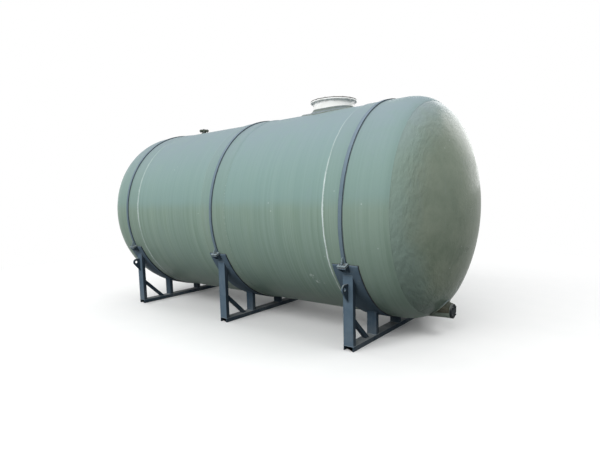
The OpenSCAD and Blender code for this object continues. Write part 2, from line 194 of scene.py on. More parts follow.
class Net:
    """Adds nodes to a tree and joins them, so that a tree reads from top to bottom."""

    def __init__(self, tree: Tree) -> None:
        """Takes the tree that the nodes go into."""
        self.tree = tree

    def add(self, kind: str, inputs: dict[Any, Any] | None = None, **options: Any) -> Wire | None:
        """Adds one node.

        Args:
            kind: The node's type.
            inputs: What each input, by name or number, holds or is fed by.
            options: The node's own settings.

        Returns:
            The node's first output, where it has one.
        """
        node = self.tree.nodes.new(kind)
        for option, choice in options.items():
            setattr(node, option, choice)
        for key, value in (inputs or {}).items():
            socket = pick(node.inputs, key)
            for feed in value if isinstance(value, list) else [value]:
                if isinstance(feed, Wire):
                    self.tree.links.new(feed.socket, socket)
                else:
                    socket.default_value = feed
        outputs = [socket for socket in node.outputs if socket.enabled]
        return Wire(self, outputs[0]) if outputs else None

    def math(self, operation: str, first: Any, second: Any = 0.0) -> Wire:
        """Returns the result of a Math node on two numbers or wires."""
        return self.add("ShaderNodeMath", {0: first, 1: second}, operation=operation)

    def whole(self, operation: str, first: Any, second: Any) -> Wire:
        """Returns the result of an Integer Math node on two numbers or wires."""
        return self.add("FunctionNodeIntegerMath", {0: first, 1: second}, operation=operation)

    def vector(self, operation: str, first: Any, second: Any = ORIGIN) -> Wire:
        """Returns the result of a Vector Math node on two vectors or wires."""
        return self.add("ShaderNodeVectorMath", {0: first, 1: second}, operation=operation)

    def scaled(self, vector: Any, amount: Any) -> Wire:
        """Returns a vector times a number."""
        return self.add("ShaderNodeVectorMath", {0: vector, "Scale": amount}, operation="SCALE")

    def combine(self, x: Any = 0.0, y: Any = 0.0, z: Any = 0.0) -> Wire:
        """Returns a vector made of three numbers or wires."""
        return self.add("ShaderNodeCombineXYZ", {0: x, 1: y, 2: z})

    def blend(self, factor: Any, first: Any, second: Any) -> Wire:
        """Returns two colours mixed by a factor."""
        return self.add("ShaderNodeMix", {0: factor, 6: first, 7: second}, data_type="RGBA")

    def layered(self, colour: Any, *layers: tuple[Wire, float, Colour]) -> Wire:
        """Returns a colour with others laid over it, each by a mask and its share of it."""
        for mask, share, over in layers:
            colour = self.blend(mask * share, colour, over)
        return colour

    def noise(self, vector: Any, scale: Any = 1.0, detail: float = 2.0, rough: float = 0.5) -> Wire:
        """Returns the value of a noise texture."""
        inputs = {"Vector": vector, "Scale": scale, "Detail": detail, "Roughness": rough}
        return self.add("ShaderNodeTexNoise", inputs)

    def bump(self, height: Any, distance: float, under: Wire | None = None) -> Wire:
        """Returns the normal of a surface that a height of 1 raises by a distance in metres."""
        inputs = {"Height": height, "Distance": distance, "Strength": 1.0}
        return self.add("ShaderNodeBump", inputs | ({"Normal": under} if under else {}))


def pick(sockets: Any, key: Any) -> bpy.types.NodeSocket:
    """Returns the socket of a number, or the one in use of a name."""
    if isinstance(key, int):
        return sockets[key]
    return next(socket for socket in sockets if socket.name == key and socket.enabled)


def titled(inputs: dict[str, Any]) -> dict[str, Any]:
    """Returns inputs under the names that a tree shows: Fleck Size for fleck_size."""
    return {label.replace("_", " ").title(): value for label, value in inputs.items()}


def cleared(owner: Material | bpy.types.World) -> Net:
    """Gives a material or a world an empty node tree, and returns the net on it."""
    owner.use_nodes = True
    owner.node_tree.nodes.clear()
    return Net(owner.node_tree)


GEOMETRY, MATERIAL = "NodeSocketGeometry", "NodeSocketMaterial"
FLOAT = "NodeSocketFloat"
SOCKETS = {float: FLOAT, int: "NodeSocketInt", tuple: "NodeSocketVector"}


def start_tree(name: str, inputs: dict[str, Any], *outputs: str) -> tuple[Net, Wire]:
    """Makes a node group with its named inputs and outputs.

    Args:
        name: The group's name.
        inputs: Each input's default, or its socket type where it has none.
        outputs: The values that a shader group puts out. Without any, it is a geometry tree.

    Returns:
        A net on the new tree, and the first output of its input node.
    """
    tree = bpy.data.node_groups.new(name, "ShaderNodeTree" if outputs else "GeometryNodeTree")
    for label, value in inputs.items():
        kind = value if isinstance(value, str) else SOCKETS[type(value)]
        socket = tree.interface.new_socket(label, in_out="INPUT", socket_type=kind)
        if kind != value:
            socket.default_value = value
    for label in outputs or ("Geometry",):
        kind = FLOAT if outputs else GEOMETRY
        tree.interface.new_socket(label, in_out="OUTPUT", socket_type=kind)
    net = Net(tree)
    return net, net.add("NodeGroupInput")


def close_tree(net: Net, geometry: Wire, material: Wire) -> Tree:
    """Ends a geometry tree: real geometry, with its finish on it.

    Args:
        net: The tree's net.
        geometry: What the tree has made.
        material: The finish.

    Returns:
        The tree.
    """
    real = net.add("GeometryNodeRealizeInstances", {"Geometry": geometry})
    dressed = net.add("GeometryNodeSetMaterial", {"Geometry": real, "Material": material})
    net.add("NodeGroupOutput", {0: dressed})
    return net.tree


def shaded(net: Net, geometry: Wire, smooth: bool, domain: str, **inputs: Any) -> Wire:
    """Returns geometry with its faces or edges shaded smooth or sharp."""
    inputs = {"Geometry": geometry, "Shade Smooth": smooth, **titled(inputs)}
    return net.add("GeometryNodeSetShadeSmooth", inputs, domain=domain)


def turned_tree() -> Tree:
    """Makes the tree that turns a profile about an axis.

    The profile is a chain of points. Its "fringe" attribute, -1 to 1, marks where the laminate
    ends: those points wander along the axis, and the mark stays on the result for its finish.

    Returns:
        The geometry tree.
    """
    net, given = start_tree("turned_piece", {
        "Geometry": GEOMETRY, "Segments": 96, "Axis": (1.0, 0.0, 0.0), "Centre": ORIGIN, "Start": 0.0,
        "Sweep": FULL_TURN, "Wave Depth": 0.0, "Wave Size": 0.5, "Fringe Depth": 0.0, "Fringe Size": 0.1,
        "Seed": 0.0, "Crease": math.radians(32), "Material": MATERIAL,
    })
    profile = given["Geometry"]
    size = net.add("GeometryNodeAttributeDomainSize", {"Geometry": profile}, component="MESH")
    count = size["Point Count"]
    rows = net.whole("ADD", given["Segments"], 1)
    grid = net.add("GeometryNodeMeshGrid", {"Vertices X": rows, "Vertices Y": count})
    index = net.add("GeometryNodeInputIndex")
    place, step = net.whole("MODULO", index, count), net.whole("DIVIDE", index, count)
    angle = given["Start"] + step / given["Segments"] * given["Sweep"]
    here = net.add("GeometryNodeInputPosition")

    def drawn(value: Wire, kind: str) -> Wire:
        """Returns a value of the profile's own point."""
        inputs = {"Geometry": profile, "Value": value, "Index": place}
        return net.add("GeometryNodeSampleIndex", inputs, data_type=kind)

    mark = net.add("GeometryNodeInputNamedAttribute", {"Name": "fringe"}, data_type="FLOAT")
    fringe = drawn(mark["Attribute"], "FLOAT")
    turned = net.add("ShaderNodeVectorRotate", {
        "Vector": drawn(here, "FLOAT_VECTOR"), "Center": given["Centre"], "Axis": given["Axis"],
        "Angle": angle,
    }, rotation_type="AXIS_ANGLE")
    marked = net.add("GeometryNodeStoreNamedAttribute", {
        "Geometry": grid, "Name": "fringe", "Value": net.math("ABSOLUTE", fringe),
    }, data_type="FLOAT", domain="POINT")
    seeded = net.vector("ADD", turned, net.scaled((1.0, 2.0, 3.0), given["Seed"]))
    wander = net.noise(net.scaled(seeded, 1.0 / given["Fringe Size"]), detail=4)
    reach = fringe * given["Fringe Depth"] * (wander - 0.5)
    wound = net.vector("ADD", turned, net.scaled(given["Axis"], reach * 2.0))
    placed = net.add("GeometryNodeSetPosition", {"Geometry": marked, "Position": wound})
    merged = net.add("GeometryNodeMergeByDistance", {"Geometry": placed, "Distance": 2e-5})
    seeded = net.vector("ADD", here, net.scaled((3.0, 1.0, 2.0), given["Seed"]))
    wave = net.noise(net.scaled(seeded, 1.0 / given["Wave Size"]), detail=3)
    sink = net.scaled(net.add("GeometryNodeInputNormal"), (wave - 1.0) * given["Wave Depth"])
    waved = net.add("GeometryNodeSetPosition", {"Geometry": merged, "Offset": sink})
    bend = net.add("GeometryNodeInputMeshEdgeAngle")["Unsigned Angle"]
    sharp = net.add("FunctionNodeCompare", {"A": bend, "B": given["Crease"]}, data_type="FLOAT",
                    operation="GREATER_THAN")
    creased = shaded(net, shaded(net, waved, True, "FACE"), False, "EDGE", selection=sharp)
    return close_tree(net, creased, given["Material"])


def bolt_tree() -> Tree:
    """Makes the tree that lays hexagon bolts on a circle, each turned its own way.

    Returns:
        The geometry tree.
    """
    net, given = start_tree("bolt_circle", {
        "Geometry": GEOMETRY, "Count": 4, "Circle Radius": 0.1, "First Angle": 0.0, "Centre": ORIGIN,
        "Turn": ORIGIN, "Corner Radius": 0.012, "Head Height": 0.01, "Washer Radius": 0.015,
        "Washer Height": 0.0025, "Stud Radius": 0.006, "Stud Height": 0.0, "Shank Length": 0.01,
        "Seed": 1, "Material": MATERIAL,
    })

    def stacked(kind: str, base: Any, height: Any, sides: int, **sizes: Any) -> Wire:
        """Adds a round or six-sided piece that stands on a given height.

        Args:
            kind: Cylinder or Cone.
            base: Height of its underside.
            height: Its height.
            sides: Number of its sides.
            sizes: The primitive's own inputs.

        Returns:
            The piece.
        """
        inputs = {"Vertices": sides, "Depth": height, **titled(sizes)}
        solid = net.add(f"GeometryNodeMesh{kind}", inputs, fill_type="NGON")
        lift = height * 0.5 if kind == "Cylinder" else 0.0
        at = net.combine(z=net.math("ADD", base, lift))
        return net.add("GeometryNodeTransform", {"Geometry": solid, "Translation": at})

    washer, head, shank = given["Washer Height"], given["Head Height"], given["Shank Length"]
    corner, flank = given["Corner Radius"], head * 0.82
    bolt = net.add("GeometryNodeJoinGeometry", {0: [
        stacked("Cylinder", 0.0, washer, 28, radius=given["Washer Radius"]),
        stacked("Cylinder", washer, flank, 6, radius=corner),
        stacked("Cone", washer + flank, head * 0.18, 6, radius_bottom=corner, radius_top=corner * 0.84),
        stacked("Cylinder", shank * -1.0, shank + (washer + head + given["Stud Height"]), 16,
                radius=given["Stud Radius"]),
    ]})
    share = net.add("GeometryNodeInputIndex") / given["Count"]
    angle = given["First Angle"] + share * FULL_TURN
    ring = net.scaled(net.combine(net.math("COSINE", angle), net.math("SINE", angle)),
                      given["Circle Radius"])
    points = net.add("GeometryNodePoints", {"Count": given["Count"], "Position": ring})
    spin = net.add("FunctionNodeRandomValue", {"Min": 0.0, "Max": math.pi / 3, "Seed": given["Seed"]},
                   data_type="FLOAT")
    turn = net.add("FunctionNodeEulerToRotation", {0: net.combine(z=spin)})
    bolts = net.add("GeometryNodeInstanceOnPoints", {"Points": points, "Instance": bolt, "Rotation": turn})
    real = net.add("GeometryNodeRealizeInstances", {"Geometry": bolts})
    placed = net.add("GeometryNodeTransform", {
        "Geometry": real, "Translation": given["Centre"], "Rotation": given["Turn"],
    })
    return close_tree(net, placed, given["Material"])


def weld_tree() -> Tree:
    """Makes the tree that lays a rippled weld bead along chains of points.

    Returns:
        The geometry tree.
    """
    net, given = start_tree("weld_bead", {
        "Geometry": GEOMETRY, "Bead Radius": 0.004, "Ripple Length": 0.006, "Ripple Depth": 0.25,
        "Seed": 0.0, "Material": MATERIAL,
    })
    line = net.add("GeometryNodeMeshToCurve", {"Mesh": given["Geometry"]})
    dense = net.add("GeometryNodeResampleCurve", {"Curve": line, "Length": given["Ripple Length"] * 0.5},
                    mode="LENGTH")
    odd = net.math("MODULO", net.add("GeometryNodeInputIndex"), 2.0)
    here = net.add("GeometryNodeInputPosition")
    wander = net.noise(net.vector("ADD", here, net.scaled((1.0, 1.0, 1.0), given["Seed"])), 60.0)
    scale = 1.25 - (odd + wander) * given["Ripple Depth"]
    ring = net.add("GeometryNodeCurvePrimitiveCircle", {"Resolution": 7, "Radius": given["Bead Radius"]})
    bead = net.add("GeometryNodeCurveToMesh", {
        "Curve": dense, "Profile Curve": ring, "Scale": scale, "Fill Caps": True,
    })
    return close_tree(net, shaded(net, bead, True, "FACE"), given["Material"])


def linked(name: str, data: Any) -> bpy.types.Object:
    """Makes an object of a mesh, a lamp or a camera, in the scene."""
    obj = bpy.data.objects.new(name, data)
    bpy.context.scene.collection.objects.link(obj)
    return obj


def grown(tree: Tree, base: Mesh, values: dict[str, Any]) -> Mesh:
    """Runs a geometry tree on a mesh and keeps the result as a plain mesh.

    Args:
        tree: The geometry tree.
        base: The mesh that it starts from.
        values: The tree's inputs by name.

    Returns:
        The finished mesh.
    """
    carrier = linked("carrier", base)
    modifier = carrier.modifiers.new("grow", "NODES")
    modifier.node_group = tree
    for item in tree.interface.items_tree:
        if item.in_out == "INPUT" and item.name in values:
            modifier[item.identifier] = values[item.name]
    depsgraph = bpy.context.evaluated_depsgraph_get()
    mesh = bpy.data.meshes.new_from_object(carrier.evaluated_get(depsgraph))
    carrier.modifiers.remove(modifier)
    bpy.data.objects.remove(carrier)
    return mesh


# ---------------------------------------------------------------- meshes


def fillet(corners: Sequence[Triple], steps: int = 4) -> list[Flat]:
    """Rounds the corners of a closed flat outline.

    Args:
        corners: Each corner's two coordinates and its radius.
        steps: Straight pieces in each rounded corner.

    Returns:
        The outline's points.
    """
    outline: list[Flat] = []
    for i, (u, v, radius) in enumerate(corners):
        if radius <= 0:
            outline.append((u, v))
            continue
        here = Vector((u, v))
        before = (Vector(corners[i - 1][:2]) - here).normalized()
        after = (Vector(corners[(i + 1) % len(corners)][:2]) - here).normalized()
        half = before.angle(after) / 2
        centre = here + (before + after).normalized() * radius / math.sin(half)
        first = here + before * radius / math.tan(half) - centre
        last = here + after * radius / math.tan(half) - centre
        begin = math.atan2(first.y, first.x)
        swing = math.remainder(math.atan2(last.y, last.x) - begin, FULL_TURN)
        for k in range(steps + 1):
            a = begin + swing * k / steps
            outline.append((centre.x + radius * math.cos(a), centre.y + radius * math.sin(a)))
    return outline


def divided(outline: Sequence[Flat], step: float) -> list[Flat]:
    """Cuts the long sides of a closed outline.

    Args:
        outline: The outline's points.
        step: The longest side that is left.

    Returns:
        The outline with more points.
    """
    points: list[Flat] = []
    for (u, v), (u2, v2) in zip(outline, [*outline[1:], outline[0]]):
        parts = max(1, math.ceil(math.hypot(u2 - u, v2 - v) / step))
        points += [(u + (u2 - u) * k / parts, v + (v2 - v) * k / parts) for k in range(parts)]
    return points


@contextmanager
def opened(mesh: Mesh) -> Iterator[bmesh.types.BMesh]:
    """Opens a mesh for editing and writes it back at the end."""
    work = bmesh.new()
    work.from_mesh(mesh)
    yield work
    work.to_mesh(mesh)
    work.free()


def chain_mesh(chains: Sequence[Sequence[Vector]], fringe: Sequence[float] | None = None) -> Mesh:
    """Makes a mesh of points joined in chains.

    Args:
        chains: The chains' points.
        fringe: A mark from -1 to 1 for each point, where the pieces need it.

    Returns:
        The mesh.
    """
    points = [tuple(p) for chain in chains for p in chain]
    edges, start = [], 0
    for chain in chains:
        edges += [(start + i, start + i + 1) for i in range(len(chain) - 1)]
        start += len(chain)
    mesh = bpy.data.meshes.new("chain")
    mesh.from_pydata(points, edges, [])
    marks = mesh.attributes.new("fringe", "FLOAT", "POINT")
    marks.data.foreach_set("value", list(fringe) if fringe else [0.0] * len(points))
    return mesh


def face_out(mesh: Mesh) -> Mesh:
    """Closes the open ends of a mesh and turns it round if its faces point inwards.

    Args:
        mesh: A mesh whose faces agree with each other.

    Returns:
        The same mesh.
    """
    with opened(mesh) as work:
        rim = [edge for edge in work.edges if edge.is_boundary]
        if rim:
            bmesh.ops.holes_fill(work, edges=rim)
            bmesh.ops.recalc_face_normals(work, faces=work.faces)
        if work.calc_volume(signed=True) < 0:
            bmesh.ops.reverse_faces(work, faces=work.faces)
    return mesh


def laced(work: bmesh.types.BMesh, rows: Sequence[Sequence[Vector]]) -> list[list[bmesh.types.BMVert]]:
    """Joins rows of points with faces, round each row and from the last row to the first.

    Args:
        work: The mesh that is being made.
        rows: The points, in the same number in each row.

    Returns:
        The rows of vertices.
    """
    rows = [[work.verts.new(point) for point in row] for row in rows]
    for row, after in zip(rows, rows[1:] + rows[:1]):
        for i in range(len(row)):
            j = (i + 1) % len(row)
            work.faces.new((row[i], row[j], after[j], after[i]))
    return rows


def prism(outline: Sequence[Flat], *ends: Callable[[float, float], Vector]) -> Mesh:
    """Makes a rolled or cut section between two ends.

    Args:
        outline: The section's outline.
        ends: For each end, what gives an outline point's place there.

    Returns:
        The closed mesh.
    """
    mesh = bpy.data.meshes.new("section")
    with opened(mesh) as work:
        first, last = [[work.verts.new(end(u, v)) for u, v in outline] for end in ends]
        for i in range(len(outline)):
            j = (i + 1) % len(outline)
            work.faces.new((first[i], first[j], last[j], last[i]))
        work.faces.new(first[::-1])
        work.faces.new(last)
        bmesh.ops.triangulate(work, faces=[f for f in work.faces if len(f.verts) > 4])
        bmesh.ops.recalc_face_normals(work, faces=work.faces)
    return face_out(mesh)


def framed(*axes: Vector, at: Vector) -> Matrix:
    """Returns the matrix that carries X, Y and Z to three directions, from a place."""
    place = Matrix(axes).transposed().to_4x4()
    place.translation = at
    return place


def cut_plate(loops: Sequence[Sequence[Flat]], thickness: float, edge: float, place: Matrix) -> Mesh:
    """Makes a flat plate with broken edges from its outline and its holes.

    Args:
        loops: The outline, then the holes.
        thickness: The plate's thickness.
        edge: Width of the broken edge.
        place: Carries the plate from its own plane to its place.

    Returns:
        The closed mesh.
    """
    curve = bpy.data.curves.new("plate", "CURVE")
    curve.dimensions, curve.fill_mode = "2D", "BOTH"
    curve.extrude, curve.bevel_depth, curve.offset = thickness / 2 - edge, edge, -edge
    curve.bevel_resolution = 1
    for loop in loops:
        spline = curve.splines.new("POLY")
        spline.points.add(len(loop) - 1)
        for point, (u, v) in zip(spline.points, loop):
            point.co = (u, v, 0.0, 1.0)
        spline.use_cyclic_u = True
    carrier = bpy.data.objects.new("plate", curve)
    mesh = bpy.data.meshes.new_from_object(carrier)
    bpy.data.objects.remove(carrier)
    bpy.data.curves.remove(curve)
    mesh.transform(place)
    with opened(mesh) as work:
        bmesh.ops.remove_doubles(work, verts=work.verts, dist=1e-6)
        bmesh.ops.recalc_face_normals(work, faces=work.faces)
    return mesh


def arc(radius: float, first: float, last: float, steps: int, u: float = 0.0, v: float = 0.0) -> list[Flat]:
    """Returns the points of an arc about a centre, both ends included."""
    angles = [first + (last - first) * k / steps for k in range(steps + 1)]
    return [(u + radius * math.cos(a), v + radius * math.sin(a)) for a in angles]


def hole(radius: float, u: float, v: float) -> list[Flat]:
    """Returns the points of a circle."""
    return arc(radius, 0.0, FULL_TURN, 32, u, v)[:-1]


def crease(mesh: Mesh, angle: float = math.radians(32)) -> Mesh:
    """Shades a mesh smooth, except across edges that turn by more than an angle.

    Args:
        mesh: The mesh.
        angle: The angle.

    Returns:
        The same mesh.
    """
    with opened(mesh) as work:
        for face in work.faces:
            face.smooth = True
        for edge in work.edges:
            edge.smooth = edge.is_manifold and edge.calc_face_angle(0.0) < angle
    return mesh


def joined(meshes: Sequence[Mesh]) -> Mesh:
    """Puts several meshes of one finish into one.

    Args:
        meshes: The meshes.

    Returns:
        One mesh with all their faces.
    """
    whole = bpy.data.meshes.new("whole")
    with opened(whole) as work:
        for mesh in meshes:
            work.from_mesh(mesh)
    return whole


def piece(name: str, mesh: Mesh, finish: Material, slot: str, *nodes: str) -> None:
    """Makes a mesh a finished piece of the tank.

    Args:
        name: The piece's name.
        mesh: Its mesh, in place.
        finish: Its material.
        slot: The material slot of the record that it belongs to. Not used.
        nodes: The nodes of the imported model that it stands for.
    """
    mesh.name = name
    mesh.materials.clear()
    mesh.materials.append(finish)
    obj = linked(name, mesh)
    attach(obj, BODY)
    if nodes:
        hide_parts(*nodes)
    LOG.info("%s: %d faces", name, len(mesh.polygons))


def dress(node: str, finish: Material) -> None:
    """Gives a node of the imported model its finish.

    Args:
        node: The node's name.
        finish: The material.
    """
    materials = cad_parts[node].data.materials
    materials.clear()
    materials.append(finish)
    LOG.info("%s: finished as %s", node, finish.name)


# ---------------------------------------------------------------- effects shared by finishes


def winding_group() -> Tree:
    """Makes the effect of glass rovings wound round a tank: fine threads and broad bands.

    Returns:
        The shader group.
    """
    net, place = start_tree(
        "hoop_winding", {"Vector": ORIGIN, "Threads": 42.0, "Bands": 4.0, "Run": 0.5},
        "Thread", "Band", "Height",
    )
    fine = net.combine(place["Threads"], place["Run"], place["Run"])
    broad = net.combine(place["Bands"], 0.12, 0.12)
    thread = net.noise(net.vector("MULTIPLY", place, fine), 1.0, 6.0, 0.68)
    band = net.noise(net.vector("MULTIPLY", place, broad), 1.0, 3.0, 0.6)
    net.add("NodeGroupOutput", {
        "Thread": thread.remap(0.3, 0.7), "Band": band.remap(0.32, 0.68), "Height": thread + band * 0.3,
    })
    return net.tree


def mottle_group() -> Tree:
    """Makes the effect of a hand-worked surface: clouds, small pale flecks, and wrinkles in the mat.

    Returns:
        The shader group.
    """
    net, place = start_tree(
        "mottle", {"Vector": ORIGIN, "Cloud Size": 0.3, "Fleck Size": 0.02, "Fleck Share": 0.1},
        "Cloud", "Fleck", "Wrinkle", "Height",
    )
    cloud = net.noise(net.scaled(place, 1.0 / place["Cloud Size"]), 1.0, 5.0, 0.62)
    small = net.scaled(place, 1.0 / place["Fleck Size"])
    spots = net.add("ShaderNodeTexVoronoi", {"Vector": small, "Scale": 1.0, "Randomness": 1.0})
    inside = spots["Distance"].remap(0.12, 0.34, 1.0, 0.0)
    lot = net.add("ShaderNodeSeparateColor", {0: spots["Color"]})
    fleck = inside * net.math("LESS_THAN", lot, place["Fleck Share"])
    grain = net.noise(small, 0.6, 4.0, 0.6)
    folds = net.noise(net.vector("MULTIPLY", place, (16.0, 30.0, 30.0)), 1.0, 3.0, 0.55)
    net.add("NodeGroupOutput", {
        "Cloud": cloud.remap(0.28, 0.72), "Fleck": fleck, "Wrinkle": folds, "Height": cloud + grain * 0.15,
    })
    return net.tree


def weather_group() -> Tree:
    """Makes the effect of standing outdoors: dust on top, splashes near the floor, runs down the sides.

    Its last output marks the faces that look along the tank, which paints darken as painted shade.

    Returns:
        The shader group.
    """
    net, place = start_tree(
        "weather", {"Vector": ORIGIN, "Splash Height": 0.3, "Run Width": 0.03, "Dust Slope": 0.1},
        "Dust", "Splash", "Run", "Side Shade",
    )
    facing, _, rise = net.add("ShaderNodeNewGeometry")["Normal"].parts()
    # Faces that look along the tank, for painted shade
    side_shade = net.math("ABSOLUTE", facing).remap(0.5, 0.9)
    _, _, height = place.parts()
    patch = net.noise(place, 5.0, 5.0, 0.65)
    dust = rise.remap(place["Dust Slope"], 0.95) * patch.remap(0.2, 0.6, 0.45, 1.0)
    splash = height.remap(0.0, place["Splash Height"], 1.0, 0.0) * patch.remap(0.35, 0.65)
    thin = 1.0 / place["Run Width"]
    streak = net.noise(net.vector("MULTIPLY", place, net.combine(thin, thin, 1.1)), 1.0, 2.0, 0.5)
    run = streak.remap(0.56, 0.74) * patch.remap(0.35, 0.7)
    net.add("NodeGroupOutput", {"Dust": dust, "Splash": splash, "Run": run, "Side Shade": side_shade})
    return net.tree


def chips_group() -> Tree:
    """Makes the effect of knocked paint: chips, the rust in the middle of them, and scratches.

    Returns:
        The shader group.
    """
    net, place = start_tree(
        "chips", {"Vector": ORIGIN, "Size": 0.03, "Share": 0.3}, "Chip", "Rust", "Scratch"
    )
    spots = net.noise(net.scaled(place, 1.0 / place["Size"]), 1.0, 6.0, 0.7)
    edge = 0.86 - place["Share"] * 0.5
    lines = net.noise(net.vector("MULTIPLY", place, (90.0, 14.0, 22.0)), 1.0, 4.0, 0.7)
    net.add("NodeGroupOutput", {
        "Chip": spots.remap(edge, edge + 0.02), "Rust": spots.remap(edge + 0.03, edge + 0.08),
        "Scratch": lines.remap(0.66, 0.74),
    })
    return net.tree


def raw_edge_group() -> Tree:
    """Makes the effect of the whitish, torn edge where a laminate ends, from the fringe mark.

    Returns:
        The shader group.
    """
    net, place = start_tree("raw_edge", {"Vector": ORIGIN, "Tear Size": 0.02}, "Edge")
    mark = net.add("ShaderNodeAttribute", attribute_name="fringe")["Fac"]
    tear = net.noise(net.scaled(place, 1.0 / place["Tear Size"]), 1.0, 4.0, 0.65)
    torn = (mark + (tear * 0.9 + -0.45)).remap(0.25, 0.95)
    patch = net.noise(place, 2.3, 3.0, 0.6).remap(0.3, 0.62, 0.35, 1.0)
    net.add("NodeGroupOutput", {"Edge": torn * mark.remap(0.02, 0.3) * patch})
    return net.tree


@dataclass(frozen=True)
class Effects:
    """The shader groups that several finishes share."""

    winding: Tree
    mottle: Tree
    weather: Tree
    chips: Tree
    raw_edge: Tree

    @classmethod
    def build(cls) -> "Effects":
        """Builds each group once."""
        return cls(winding_group(), mottle_group(), weather_group(), chips_group(), raw_edge_group())


# ---------------------------------------------------------------- finishes


class SurfaceNet(Net):
    """The net of a material, with the Object coordinates and the shared effects at hand."""

    def __init__(self, tree: Tree, effects: Effects) -> None:
        """Takes the material's tree and the effects."""
        super().__init__(tree)
        self.effects, self.place = effects, self.add("ShaderNodeTexCoord")["Object"]

    def effect(self, name: str, **inputs: Any) -> Wire:
        """Places one of the effects."""
        inputs = {"Vector": self.place, **titled(inputs)}
        return self.add("ShaderNodeGroup", inputs, node_tree=getattr(self.effects, name))


@dataclass(frozen=True)
class Finish:
    """What every finish has in common.

    Attributes:
        name: The material's name.
        ground: The colour underneath.
    """

    name: str
    ground: Colour

    def build(self, effects: Effects) -> Material:
        """Builds the material.

        Args:
            effects: The shared shader groups.

        Returns:
            The material.
        """
        material = bpy.data.materials.new(self.name)
        material.diffuse_color = self.ground
        net = SurfaceNet(cleared(material).tree, effects)
        shader = net.add("ShaderNodeBsdfPrincipled", self.surface(net))
        net.add("ShaderNodeOutputMaterial", {"Surface": shader})
        return material

    def surface(self, net: SurfaceNet) -> dict[str, Any]:
        """Says what the surface is like.

        Args:
            net: The material's net.

        Returns:
            What the shader's inputs hold or are fed by.
        """
        raise NotImplementedError


